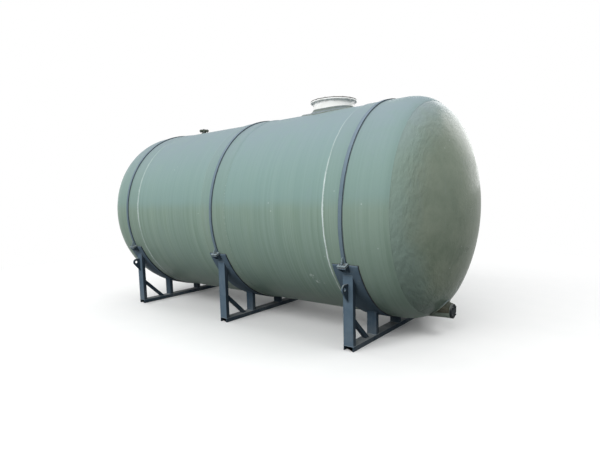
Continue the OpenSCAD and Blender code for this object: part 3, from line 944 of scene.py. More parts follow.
@dataclass(frozen=True)
class LaminateFinish(Finish):
    """Resin and glass, wound or laid by hand. Its ground is the colour of thick resin.

    Attributes:
        light: Colour where the glass shows.
        cloud: Colour of the broad bands and clouds.
        chalk_and_sheen: Colour of the dust and bloom on top, bluish as a painted reflection of the sky.
        raw: Colour of the torn edges and dry flecks.
        wound: 1 for wound rovings, 0 for hand-laid mat.
        cloud_size: Size of the clouds in metres.
        roughness: How matt the resin is.
        flecks: Share of dry flecks.
        wrinkles: Depth of the wrinkles in the mat, in metres.
        gloss: Reflection of the bare resin.
        coat: Weight of the glossy top coat.
        shine: What the coat gains in patches on the upper half.
        upper_light: Colour painted above the waist, lighter and bluer: painted sky reflection and light;
            below it stays darker.
        waist: Heights above the axis between which the painted light comes in.
        rim: Colour towards the rim of a head, where it has one: a painted sheen.
        axis_z: Height of the tank's axis.
        scuffs: Middles of the scuffed places.
    """

    light: Colour
    cloud: Colour
    chalk_and_sheen: Colour
    raw: Colour
    wound: float
    cloud_size: float
    roughness: float
    flecks: float
    wrinkles: float = 0.0
    gloss: float = 0.08
    coat: float = 0.0
    shine: float = 0.0
    upper_light: Colour | None = None
    waist: Flat = (0.05, 0.24)
    rim: Colour | None = None
    axis_z: float = 0.0
    scuffs: tuple[Triple, ...] = ()

    def arm(self, net: SurfaceNet) -> tuple[Wire, Wire]:
        """Returns the way from the tank's axis to the surface, and its length."""
        level = net.vector("SUBTRACT", net.place, (0.0, 0.0, self.axis_z))
        arm = net.vector("MULTIPLY", level, (0.0, 1.0, 1.0))
        return arm, net.vector("LENGTH", arm)

    def folds(self, net: SurfaceNet) -> Wire:
        """Returns the wrinkles that run round a head, strongest towards its rim.

        Args:
            net: The material's net.

        Returns:
            Their height.
        """
        arm, reach = self.arm(net)
        _, side, up = arm.parts()
        grid = net.combine(net.math("ARCTAN2", side, up) * 11.0, reach * 24.0, net.place.parts()[0] * 24.0)
        return net.noise(grid, 1.0, 2.0, 0.5) * reach.remap(0.7, 1.12, 0.15, 1.0)

    def painted_light(self, net: SurfaceNet, height: Wire, colour: Wire) -> Wire:
        """Returns the colour with painted light: lighter above the waist, and a painted sheen towards a
        head's rim.

        Args:
            net: The material's net.
            height: Height over the floor.
            colour: The colour so far.

        Returns:
            The colour.
        """
        if self.upper_light:
            low, high = self.waist
            level = height + net.noise(net.place, 2.5, 3.0, 0.6) * 0.08
            # Lighter and bluer above the waist: painted sky reflection and light
            lit_share = level.remap(self.axis_z + low, self.axis_z + high, 0.0, 0.58)
            colour = net.blend(lit_share, colour, self.upper_light)
        if self.rim:
            # Lighter and bluer towards a head's rim: a painted sheen
            uneven = self.arm(net)[1] + net.noise(net.place, 3.0, 4.0, 0.6) * 0.3
            colour = net.blend(uneven.remap(0.98, 1.32), colour, self.rim)
        return colour

    def scuffed(self, net: SurfaceNet, colour: Wire) -> Wire:
        """Returns the colour with whitish scratches about each scuffed place.

        Args:
            net: The material's net.
            colour: The colour so far.

        Returns:
            The colour.
        """
        lines = net.noise(net.vector("MULTIPLY", net.place, (95.0, 30.0, 30.0)), 1.0, 3.0, 0.6)
        lines = lines.remap(0.52, 0.60)
        for centre in self.scuffs:
            near = net.vector("DISTANCE", net.place, centre).remap(0.012, 0.045, 0.8, 0.0)
            colour = net.blend(near * lines, colour, self.raw)
        return colour

    def surface(self, net: SurfaceNet) -> dict[str, Any]:
        """Says what the surface is like.

        Args:
            net: The material's net.

        Returns:
            What the shader's inputs hold or are fed by.
        """
        wind = net.effect("winding")
        hand = net.effect("mottle", cloud_size=self.cloud_size, fleck_size=0.035, fleck_share=self.flecks)
        sky = net.effect("weather", run_width=0.05, dust_slope=0.22)
        edge = net.effect("raw_edge")["Edge"]
        glass = wind["Thread"] * self.wound + hand["Cloud"] * (1.0 - self.wound)
        colour = net.blend(glass, self.ground, self.light)
        colour = net.blend((wind["Band"] + hand["Cloud"]) * 0.25, colour, self.cloud)
        along, _, height = net.place.parts()
        colour = self.painted_light(net, height, colour)
        shows = height.remap(1.6, 2.5, 0.95, 0.3) * along.remap(-1.9, 0.6, 0.7, 1.0)
        # The bluish dust on upward faces is also a painted reflection of the sky
        colour = net.layered(
            colour, (hand["Fleck"], 0.28, self.raw), (sky["Run"], 0.12, self.chalk_and_sheen),
            (sky["Dust"], 0.6, self.chalk_and_sheen), (edge, shows, self.raw),
        )
        if self.scuffs:
            colour = self.scuffed(net, colour)
        normal = net.bump(wind["Height"], 0.0006 * self.wound + 0.0001)
        normal = net.bump(hand["Height"], 0.004 * (1.15 - self.wound), normal)
        if self.wrinkles:
            folds = self.folds(net) if self.rim else hand["Wrinkle"]
            normal = net.bump(folds, self.wrinkles, normal)
        coat = self.coat
        if self.shine:
            patch = net.noise(net.place, 4.0, 4.0, 0.6).remap(0.38, 0.62, 0.25, self.shine)
            coat = height.remap(self.axis_z + 0.45, self.axis_z + 1.0) * patch + self.coat
        return {
            "Base Color": colour, "Normal": normal, "Coat Weight": coat, "Coat Roughness": 0.18,
            "Roughness": glass * 0.1 + (sky["Dust"] * 0.12 + self.roughness) + edge * 0.3,
            "IOR": 1.5, "Specular IOR Level": self.gloss,
        }


@dataclass(frozen=True)
class PaintFinish(Finish):
    """Paint on steel, knocked, scratched and dusty.

    Attributes:
        faded: The paint where the sun has bleached it.
        dust: The colour of dust and splashes.
        roughness: How matt the paint is.
        damage: Share of the surface that has chipped.
        side_shade: How much darker the faces that look along the tank are painted: painted shade.
    """

    faded: Colour
    dust: Colour
    roughness: float
    damage: float
    side_shade: float = 0.0

    def surface(self, net: SurfaceNet) -> dict[str, Any]:
        """Says what the surface is like.

        Args:
            net: The material's net.

        Returns:
            What the shader's inputs hold or are fed by.
        """
        hand = net.effect("mottle", cloud_size=0.12, fleck_size=0.006, fleck_share=0.06)
        sky = net.effect("weather", splash_height=0.35, run_width=0.02)
        knocks = net.effect("chips", size=0.035, share=self.damage)
        # Faces that look along the tank are darkened towards SHADED: painted shade
        colour = net.layered(
            self.ground, (hand["Cloud"], 0.55, self.faded), (sky["Side Shade"], self.side_shade, SHADED),
            (knocks["Scratch"], 0.35, self.dust), (sky["Run"], 0.25, self.dust),
            (sky["Dust"], 0.55, self.dust), (sky["Splash"], 0.16, self.dust),
            (knocks["Chip"], 0.8, self.dust), (knocks["Rust"], 0.9, RUST),
        )
        rough = hand["Cloud"] * 0.14 + self.roughness + knocks["Chip"] * 0.3 + sky["Dust"] * 0.15
        normal = net.bump(hand["Height"] * 0.3 - knocks["Chip"], 0.0005)
        return {"Base Color": colour, "Roughness": rough, "Normal": normal, "Specular IOR Level": 0.02}


@dataclass(frozen=True)
class GelcoatFinish(Finish):
    """White gelcoat, a little yellowed and dusty.

    Attributes:
        aged: Colour where it has yellowed.
        dirt: Colour of the dirt.
        roughness: How matt it is.
    """

    aged: Colour
    dirt: Colour
    roughness: float

    def surface(self, net: SurfaceNet) -> dict[str, Any]:
        """Says what the surface is like.

        Args:
            net: The material's net.

        Returns:
            What the shader's inputs hold or are fed by.
        """
        hand = net.effect("mottle", cloud_size=0.09, fleck_size=0.012, fleck_share=0.12)
        sky = net.effect("weather", run_width=0.02)
        edge = net.effect("raw_edge")["Edge"]
        colour = net.layered(
            net.blend(hand["Cloud"], self.ground, self.aged), (sky["Run"], 0.3, self.dirt),
            (hand["Fleck"], 0.25, self.dirt),
        )
        return {
            "Base Color": net.blend(edge, colour, self.dirt), "Coat Weight": 0.2, "Coat Roughness": 0.15,
            "Roughness": hand["Cloud"] * 0.15 + self.roughness, "Normal": net.bump(hand["Height"], 0.0012),
        }


@dataclass(frozen=True)
class RubberFinish(Finish):
    """Black sheet rubber, greyed by dust.

    Attributes:
        grey: Colour of its dusty bloom.
    """

    grey: Colour

    def surface(self, net: SurfaceNet) -> dict[str, Any]:
        """Says what the surface is like.

        Args:
            net: The material's net.

        Returns:
            What the shader's inputs hold or are fed by.
        """
        hand = net.effect("mottle", cloud_size=0.05, fleck_size=0.004, fleck_share=0.15)
        sky = net.effect("weather")
        colour = net.layered(self.ground, (hand["Cloud"], 0.6, self.grey), (sky["Dust"], 0.5, self.grey))
        return {
            "Base Color": colour, "Roughness": hand["Cloud"] * 0.2 + 0.62,
            "Normal": net.bump(hand["Height"], 0.0006),
        }


@dataclass(frozen=True)
class ZincFinish(Finish):
    """Zinc-plated bolts, dulled in patches.

    Attributes:
        dull: Colour of the dulled plating.
    """

    dull: Colour

    def surface(self, net: SurfaceNet) -> dict[str, Any]:
        """Says what the surface is like.

        Args:
            net: The material's net.

        Returns:
            What the shader's inputs hold or are fed by.
        """
        hand = net.effect("mottle", cloud_size=0.02, fleck_size=0.003, fleck_share=0.1)
        rust = net.effect("chips", size=0.012, share=0.5)["Rust"] * 0.7
        colour = net.blend(rust, net.blend(hand["Cloud"], self.ground, self.dull), RUST)
        return {
            "Base Color": colour, "Metallic": 0.9 - rust, "Roughness": hand["Cloud"] * 0.25 + 0.3,
            "Normal": net.bump(hand["Height"], 0.0003),
        }


def tint(red: float, green: float, blue: float) -> Colour:
    """Returns an opaque colour."""
    return red, green, blue, 1.0


WHITE = tint(1.0, 1.0, 1.0)
DUST = tint(0.30, 0.31, 0.30)
RUST = tint(0.16, 0.055, 0.022)
# The colour of painted shade on paint faces that look along the tank
SHADED = tint(0.012, 0.020, 0.030)
# Bluish dust on laminate tops, which is also a painted reflection of the sky
CHALK_AND_SHEEN = tint(0.238, 0.288, 0.348)
RAW = tint(0.68, 0.77, 0.77)


@dataclass(frozen=True)
class Finishes:
    """Every material of the tank."""

    wound: Material
    wrap: Material
    dish: Material
    pad: Material
    root: Material
    pipe: Material
    gelcoat: Material
    lid: Material
    rubber: Material
    strip: Material
    paint: Material
    shaded_paint: Material
    clamp: Material
    weld: Material
    strap: Material
    flange: Material
    zinc: Material
    clean: Material

    @classmethod
    def build(cls, effects: Effects, axis_z: float) -> "Finishes":
        """Builds the materials, in the order of the fields.

        Args:
            effects: The shared shader groups.
            axis_z: Height of the tank's axis.

        Returns:
            All the finishes.
        """
        recipes = (
            LaminateFinish(
                "wound_laminate", tint(0.176, 0.257, 0.207), tint(0.243, 0.329, 0.279),
                tint(0.180, 0.262, 0.236), CHALK_AND_SHEEN, RAW, wound=1.0, cloud_size=0.6, roughness=0.33,
                flecks=0.002, upper_light=tint(0.208, 0.322, 0.318), axis_z=axis_z,
                scuffs=((1.378, -1.038, 0.742), (1.428, -0.997, 0.683)),
            ),
            LaminateFinish(
                "wrap_laminate", tint(0.174, 0.249, 0.201), tint(0.239, 0.319, 0.269),
                tint(0.205, 0.280, 0.242), CHALK_AND_SHEEN, RAW, wound=0.85, cloud_size=0.35, roughness=0.33,
                flecks=0.003, wrinkles=0.0008, upper_light=tint(0.196, 0.300, 0.290), axis_z=axis_z,
            ),
            LaminateFinish(
                "hand_laminate", tint(0.140, 0.185, 0.135), tint(0.235, 0.280, 0.216),
                tint(0.185, 0.222, 0.170), CHALK_AND_SHEEN, RAW, wound=0.0, cloud_size=0.28, roughness=0.26,
                flecks=0.008, wrinkles=0.012, gloss=0.02, coat=0.04, shine=0.32,
                rim=tint(0.190, 0.256, 0.222), axis_z=axis_z, upper_light=tint(0.208, 0.250, 0.202),
                waist=(-0.7, 0.35),
            ),
            LaminateFinish(
                "pad_laminate", tint(0.075, 0.090, 0.065), tint(0.165, 0.190, 0.145),
                tint(0.110, 0.120, 0.090), CHALK_AND_SHEEN, RAW, wound=0.0, cloud_size=0.12, roughness=0.32,
                flecks=0.05,
            ),
            # Its torn edge is dark: painted shade where the collar meets the head
            LaminateFinish(
                "root_laminate", tint(0.040, 0.044, 0.030), tint(0.125, 0.122, 0.096),
                tint(0.062, 0.060, 0.042), tint(0.085, 0.098, 0.085), tint(0.16, 0.17, 0.14), wound=0.0,
                cloud_size=0.05, roughness=0.36, flecks=0.10, wrinkles=0.002,
            ),
            LaminateFinish(
                "pipe_laminate", tint(0.210, 0.255, 0.215), tint(0.310, 0.360, 0.305),
                tint(0.240, 0.285, 0.240), CHALK_AND_SHEEN, RAW, wound=0.0, cloud_size=0.10, roughness=0.34,
                flecks=0.03,
            ),
            GelcoatFinish(
                "white_gelcoat", tint(0.86, 0.87, 0.86), tint(0.80, 0.80, 0.77), tint(0.33, 0.34, 0.31), 0.34
            ),
            # Its darkest colour lines the cover's rim, where the fringe mark is, as a thin dark brown line
            GelcoatFinish(
                "lid_gelcoat", tint(0.80, 0.81, 0.80), tint(0.72, 0.72, 0.69), tint(0.055, 0.038, 0.022), 0.36
            ),
            RubberFinish("black_rubber", tint(0.014, 0.015, 0.017), tint(0.060, 0.064, 0.066)),
            RubberFinish("dusty_rubber", tint(0.050, 0.068, 0.074), tint(0.130, 0.165, 0.180)),
            # A paint's last number is its painted shade on faces that look along the tank
            PaintFinish(
                "frame_paint", tint(0.082, 0.122, 0.163), tint(0.122, 0.172, 0.216), DUST, 0.48, 0.30, 0.75
            ),
            # A darker copy of the frame paint for the base, inner posts and braces: painted shade under the
            # tank
            PaintFinish(
                "shaded_base_paint", tint(0.042, 0.067, 0.094), tint(0.066, 0.099, 0.132), DUST, 0.5, 0.34, 0.35
            ),
            # A lighter copy of the frame paint for the strap ends: painted light where the sky catches them
            PaintFinish(
                "sky_lit_clamp_paint", tint(0.170, 0.222, 0.248), tint(0.240, 0.298, 0.322),
                tint(0.33, 0.38, 0.40), 0.44, 0.20,
            ),
            PaintFinish(
                "weld_paint", tint(0.086, 0.126, 0.166), tint(0.132, 0.182, 0.224), DUST, 0.36, 0.42
            ),
            # A lighter copy of the frame paint for the straps: painted sky light
            PaintFinish(
                "sky_lit_strap_paint", tint(0.126, 0.178, 0.220), tint(0.168, 0.226, 0.268),
                tint(0.26, 0.31, 0.37), 0.44, 0.22, 0.8,
            ),
            PaintFinish(
                "flange_paint", tint(0.020, 0.024, 0.028), tint(0.036, 0.042, 0.048), DUST, 0.44, 0.26
            ),
            ZincFinish("dull_bolts", tint(0.34, 0.36, 0.37), tint(0.17, 0.18, 0.19)),
            ZincFinish("clean_bolts", tint(0.72, 0.73, 0.73), tint(0.52, 0.54, 0.54)),
        )
        return cls(*(recipe.build(effects) for recipe in recipes))


# ---------------------------------------------------------------- sub-assemblies


@dataclass(frozen=True)
class Trees:
    """The geometry trees that several sub-assemblies use."""

    turned: Tree
    bolts: Tree
    weld: Tree

    @classmethod
    def build(cls) -> "Trees":
        """Builds each tree once."""
        return cls(turned_tree(), bolt_tree(), weld_tree())


class Axle(Enum):
    """The direction of the axis that a piece is turned about."""

    LEVEL = (1.0, 0.0, 0.0)
    UPRIGHT = (0.0, 0.0, 1.0)


@dataclass(frozen=True)
class Workshop:
    """What every sub-assembly is built with."""

    sizes: TankSizes
    trees: Trees
    finishes: Finishes

    def turn(self, spots: Sequence[tuple], axle: Axle, centre: Vector, finish: Material,
             closed: bool = False, **inputs: Any) -> Mesh:
        """Turns a profile about an axis.

        Args:
            spots: For each point of the profile, its distance from the axis, its place along it and,
                where the laminate frays, how much it does, -1 to 1.
            axle: Which way the axis runs.
            centre: A point on the axis.
            finish: The material.
            closed: Whether the profile comes back to its first point.
            inputs: Further inputs of the tree.

        Returns:
            The closed mesh, with its faces outwards.
        """
        spots = [(*spot, 0.0)[:3] for spot in ([*spots, spots[0]] if closed else spots)]
        if axle is Axle.LEVEL:
            places = [Vector((along, centre.y, centre.z - reach)) for reach, along, _ in spots]
        else:
            places = [Vector((centre.x + reach, centre.y, along)) for reach, along, _ in spots]
        base = chain_mesh([places], [fringe for _, _, fringe in spots])
        values = {**titled(inputs), "Axis": axle.value, "Centre": tuple(centre), "Material": finish}
        return face_out(grown(self.trees.turned, base, values))

    def bolt(self, centre: Vector, turn: Triple, finish: Material, **inputs: Any) -> Mesh:
        """Lays a circle of bolts, turned from upright, on the face that its centre lies on."""
        values = {**titled(inputs), "Centre": tuple(centre), "Turn": turn, "Material": finish}
        return grown(self.trees.bolts, bpy.data.meshes.new("none"), values)

    @property
    def axis(self) -> Vector:
        """The middle of the tank's axis."""
        return Vector((0.0, 0.0, self.sizes.axis_z))


@dataclass(frozen=True)
class DishShape:
    """The two-arc shape of a head.

    Attributes:
        radius: Outside radius at the tangent line.
        tangent: Distance of the tangent line from the middle.
        crown: Radius of the crown.
        knuckle: Radius of the knuckle.
    """

    radius: float
    tangent: float
    crown: float = 2.3
    knuckle: float = 0.43

    @property
    def bend(self) -> float:
        """Distance of the knuckle's centre from the tank's axis."""
        return self.radius - self.knuckle

    @property
    def join(self) -> float:
        """Normal angle where the knuckle runs into the crown."""
        return QUARTER - math.asin(self.bend / (self.crown - self.knuckle))

    @property
    def back(self) -> float:
        """Distance of the crown's centre behind the tangent line."""
        return math.sqrt((self.crown - self.knuckle) ** 2 - self.bend ** 2)

    def spot(self, angle: float, lift: float, side: int, fringe: float = 0.0) -> Triple:
        """Returns a point of the head's profile, ready to be turned.

        Args:
            angle: Angle of its normal, from 0 at the tangent line to a quarter turn at the pole.
            lift: Distance outside the outer surface.
            side: 1 for the near head, -1 for the far one.
            fringe: How much the laminate frays there.

        Returns:
            The point.
        """
        if angle <= self.join:
            reach = self.bend + (self.knuckle + lift) * math.cos(angle)
            depth = (self.knuckle + lift) * math.sin(angle)
        else:
            reach = (self.crown + lift) * math.cos(angle)
            depth = (self.crown + lift) * math.sin(angle) - self.back
        return max(reach, 0.0), side * (self.tangent + depth), fringe

    def surface(self, reach: float) -> float:
        """Returns where the head's surface is along the tank, at a distance from the axis."""
        if reach < self.crown * math.cos(self.join):
            return self.tangent + (math.sqrt(self.crown ** 2 - reach ** 2) - self.back)
        return self.tangent + math.sqrt(max(self.knuckle ** 2 - (reach - self.bend) ** 2, 0.0))

    def angles(self, steps: int) -> list[float]:
        """Returns normal angles from the tangent line to the pole, close on knuckle and crown."""
        bend = [self.join * k / steps for k in range(steps)]
        return bend + [self.join + (QUARTER - self.join) * k / steps for k in range(steps + 1)]


@dataclass(frozen=True)
class LaminateTank:
    """The wound shell, its hand-laid heads and the wraps over the joints and saddles.

    Attributes:
        shop: What it is built with.
        wall: Thickness of the shell.
        head_wall: Thickness of the heads.
        taper: Length of a wrap's tapered edge.
        bury: How deep a wrap's underside lies in what carries it.
        lip: How far the foot of a wrap's edge stands off the shell.
        segments: Straight pieces around the tank.
    """

    shop: Workshop
    wall: float = 0.012
    head_wall: float = 0.014
    taper: float = 0.022
    bury: float = 0.006
    lip: float = 0.0008
    segments: int = 288

    @property
    def dish(self) -> DishShape:
        """The shape of the heads."""
        return DishShape(self.shop.sizes.radius, self.shop.sizes.tangent)

    def lay(self, name: str, node: str, spots: list[tuple], finish: Material, slot: str,
            **inputs: Any) -> None:
        """Turns a piece about the tank's axis and shows it."""
        mesh = self.shop.turn(spots, Axle.LEVEL, self.shop.axis, finish, segments=self.segments, **inputs)
        piece(name, mesh, finish, slot, node)

    def build(self) -> None:
        """Builds the pieces."""
        self.build_shell()
        for side, end in ((1, "near"), (-1, "far")):
            self.build_head(side, end)
            self.build_end_wrap(side, end)
        self.build_middle_wrap()

    def build_shell(self) -> None:
        """Turns the plain wound shell."""
        sizes, steps = self.shop.sizes, 46
        spots = [(sizes.radius, sizes.tangent * (2 * k / steps - 1)) for k in range(steps + 1)]
        spots += [(sizes.radius - self.wall, side * sizes.tangent) for side in (1, -1)]
        self.lay("wound_shell", "tank_shell", spots, self.shop.finishes.wound, "wound_laminate",
                 closed=True, wave_depth=0.0012, wave_size=0.55, seed=3.0)

    def build_head(self, side: int, end: str) -> None:
        """Turns one head.

        Args:
            side: 1 for the near head, -1 for the far one.
            end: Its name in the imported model.
        """
        inner = [self.dish.spot(a, -self.head_wall, side) for a in reversed(self.dish.angles(8))]
        outer = [self.dish.spot(a, 0.0, side) for a in self.dish.angles(26)]
        self.lay(f"{end}_dish", f"{end}_head", (inner + outer)[::side], self.shop.finishes.dish,
                 "hand_laminate", wave_depth=0.004, wave_size=0.42, seed=5.0 + side)

    def edge(self, start: float, way: float, frays: float, thins: float) -> list[tuple]:
        """Returns the tapered edge of a wrap, from its foot in the shell to its full thickness.

        Args:
            start: Place of the edge along the tank.
            way: 1 where the wrap lies towards +X, -1 towards -X.
            frays: How much the edge frays.
            thins: How much it still does at the full thickness.

        Returns:
            The points.
        """
        radius, full = self.shop.sizes.radius, self.shop.sizes.wrap_radius
        return [
            (radius - self.bury, start, frays), (radius + self.lip, start, frays),
            (radius + 0.6 * (full - radius), start + way * 0.5 * self.taper, frays),
            (full, start + way * self.taper, thins),
        ]

    def build_end_wrap(self, side: int, end: str) -> None:
        """Turns the wrap that ties a head to the shell.

        Args:
            side: 1 for the near end, -1 for the far one.
            end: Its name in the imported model.
        """
        sizes, dish, box = self.shop.sizes, self.dish, Span.of(f"{end}_end_wrap")
        start, stop = sorted((abs(box.lo.x), abs(box.hi.x)))
        last = math.asin((stop - sizes.tangent) / dish.knuckle)
        thick = sizes.wrap_radius - sizes.radius
        frays = 1.0 if side > 0 else 0.8
        spots = self.edge(side * start, side, frays, 0.45 * frays)
        spots.append((sizes.wrap_radius, side * (start + 1.9 * self.taper)))
        run, steps = start + 2.5 * self.taper, 9
        spots += [(sizes.wrap_radius, side * (run + (sizes.tangent - run) * k / steps)) for k in range(steps)]
        bend = [last * k / 14 for k in range(15)]
        spots += [dish.spot(a, thick, side) for a in bend[:-5]]
        feather = (0.96, 0.84, 0.64, 0.40, 0.18)
        spots += [dish.spot(a, t * thick, side) for a, t in zip(bend[-5:-1], feather)]
        spots += [
            dish.spot((bend[-2] + last) / 2, feather[-1] * thick, side, 0.15),
            dish.spot(last, self.lip / 2, side, 0.25), dish.spot(last, -self.bury, side, 0.25),
        ]
        spots += [dish.spot(a, -self.bury, side) for a in reversed(bend[1:-1:3])]
        spots.append((sizes.radius - self.bury, side * sizes.tangent))
        self.lay(f"{end}_end_layup", f"{end}_end_wrap", spots[::side], self.shop.finishes.wrap,
                 "wound_laminate", closed=True, wave_depth=0.0022, wave_size=0.3, fringe_depth=0.012,
                 fringe_size=0.16, seed=11.0 + side)

    def build_middle_wrap(self) -> None:
        """Turns the wrap under the middle saddle."""
        box = Span.of("middle_wrap")
        left, flat = box.lo.x + 2 * self.taper, box.size.x - 4 * self.taper
        spots = self.edge(box.lo.x, 1, 0.3, 0.12)
        spots += [(self.shop.sizes.wrap_radius, left + flat * k / 8) for k in range(9)]
        spots += reversed(self.edge(box.hi.x, -1, 0.3, 0.12))
        self.lay("middle_layup", "middle_wrap", spots, self.shop.finishes.wrap, "wound_laminate",
                 closed=True, wave_depth=0.0016, wave_size=0.35, fringe_depth=0.012, fringe_size=0.2,
                 seed=19.0)


@dataclass(frozen=True)
class LaidPad:
    """A pad of hand-laid mat on the top of the shell, climbing the neck in its middle.

    Attributes:
        sizes: The tank's sizes.
        name: The piece's name.
        centre_x: Place of the neck along the tank.
        inner: Radius of the neck.
        outer: Radius of the pad.
        collar: Height of the laminate on the neck.
        thick: Thickness of the pad.
        ragged: How far the edge wanders, as a share of the radius.
        count: Straight pieces around the pad.
    """

    sizes: TankSizes
    name: str
    centre_x: float
    inner: float
    outer: float
    collar: float
    thick: float = 0.012
    ragged: float = 0.03
    count: int = 144

    def rings(self) -> list[Triple]:
        """Returns radius, height over the shell and fringe of each ring, from the neck outwards."""
        wall = self.thick
        fair = min(0.05, (self.outer - self.inner) / 2)
        sweep = [QUARTER * k / 6 for k in range(1, 7)]
        hollow = self.collar - 0.4 * wall - wall
        flat = self.inner + wall + fair
        wide = self.outer - flat
        return [
            (self.inner, self.collar, 0.5), (self.inner + 0.5 * wall, self.collar - 0.1 * wall, 0.4),
            *((self.inner + wall + fair * (1 - math.cos(a)), wall + hollow * (1 - math.sin(a)), 0.0)
              for a in sweep),
            *((flat + wide * share, wall, 0.0) for share in (0.25, 0.5, 0.75)),
            (flat + wide * 0.9, 0.85 * wall, 0.4), (flat + wide * 0.97, 0.4 * wall, 0.8),
            (self.outer, 0.0006, 1.0), (self.outer, -0.006, 1.0), (self.inner, -0.006, 0.0),
        ]

    def point(self, reach: float, lift: float, fringe: float, turn: float) -> Vector:
        """Returns a point of a ring on the curved shell.

        Args:
            reach: The ring's radius.
            lift: Its height over the shell.
            fringe: How much it frays.
            turn: The point's angle.

        Returns:
            Its place.
        """
        out = Vector((math.cos(turn), math.sin(turn), self.centre_x))
        if reach > self.inner:
            reach *= 1 + self.ragged * fringe * (noise.fractal(out * 2.6, 1.0, 2.0, 4) - 0.6)
        bulge = 0.0008 * noise.noise(Vector((reach * out.x, reach * out.y, 0.3)) * 22) if lift > 0 else 0.0
        y = reach * out.y
        rise = math.sqrt((self.sizes.radius + lift + bulge) ** 2 - y * y)
        return Vector((self.centre_x + reach * out.x, y, self.sizes.axis_z + rise))

    def build(self, finish: Material) -> Mesh:
        """Lays the pad on the shell.

        Args:
            finish: The material.

        Returns:
            The closed mesh.
        """
        rings, turns = self.rings(), [FULL_TURN * k / self.count for k in range(self.count)]
        mesh = bpy.data.meshes.new(self.name)
        with opened(mesh) as work:
            mark = work.verts.layers.float.new("fringe")
            rows = laced(work, [[self.point(*ring, turn) for turn in turns] for ring in rings])
            for row, (_, _, fringe) in zip(rows, rings):
                for vert in row:
                    vert[mark] = fringe
        mesh = crease(face_out(mesh), math.radians(60))
        mesh.materials.append(finish)
        return mesh


@dataclass(frozen=True)
class TopFitting:
    """A flanged neck on the top of the tank.

    Attributes:
        shop: What it is built with.
        bolts: Number of bolts.
        bolt_circle: Radius of the bolt circle.
        bore: Radius of the bore.
        pipe: Outside radius of the neck.
        edge: Radius of the rounded edges.
        hollow: Radius of the hollow under the flange.
        flange_t: Thickness of the neck's flange.
    """

    shop: Workshop
    bolts: int
    bolt_circle: float
    bore: float
    pipe: float
    edge: float
    hollow: float
    flange_t: float = 0.014

    def turn(self, spots: Sequence[tuple], centre: Vector, finish: Material, **inputs: Any) -> Mesh:
        """Turns a piece of the fitting about its upright axis."""
        return self.shop.turn(spots, Axle.UPRIGHT, centre, finish, **inputs)

    def neck(self, centre: Vector, face: float, flange_r: float, skirt: float, finish: Material,
             **inputs: Any) -> Mesh:
        """Turns the neck and its flange.

        Args:
            centre: A point on the neck's axis.
            face: Height of the flange's face.
            flange_r: Radius of the flange.
            skirt: Height where the neck ends inside the shell.
            finish: The material.
            inputs: Further inputs of the turning tree.

        Returns:
            The closed mesh.
        """
        under = face - self.flange_t
        corners = [
            (self.bore, skirt, 0.0), (self.bore, face, self.edge), (flange_r, face, self.edge),
            (flange_r, under, self.edge), (self.pipe, under, self.hollow), (self.pipe, skirt, 0.0),
        ]
        return self.turn(fillet(corners), centre, finish, closed=True, **inputs)

    def bolted(self, centre: Vector, tops: Flat, heads: Flat, seeds: tuple[int, int], stud: float,
               shank: float, finish: Material) -> Mesh:
        """Lays the bolts' heads on the cover and their nuts under the flange.

        Args:
            centre: A point on the neck's axis.
            tops: Height of the cover's face and of the flange's.
            heads: Height of the heads and of the nuts.
            seeds: Seed of their turns.
            stud: How far the studs stand out of the nuts.
            shank: How far the shanks run into the flange.
            finish: The material.

        Returns:
            The bolts' mesh.
        """
        places = ((tops[0], 0.0, 0.0), (tops[1] - self.flange_t, math.pi, stud))
        return joined([
            self.shop.bolt(
                centre + Vector((0, 0, z)), (tilt, 0.0, 0.0), finish, count=self.bolts,
                circle_radius=self.bolt_circle, first_angle=math.pi / self.bolts, corner_radius=0.0104,
                head_height=head, washer_radius=0.012, washer_height=0.002, stud_radius=0.006,
                stud_height=proud, shank_length=shank, seed=seed,
            )
            for (z, tilt, proud), head, seed in zip(places, heads, seeds)
        ])


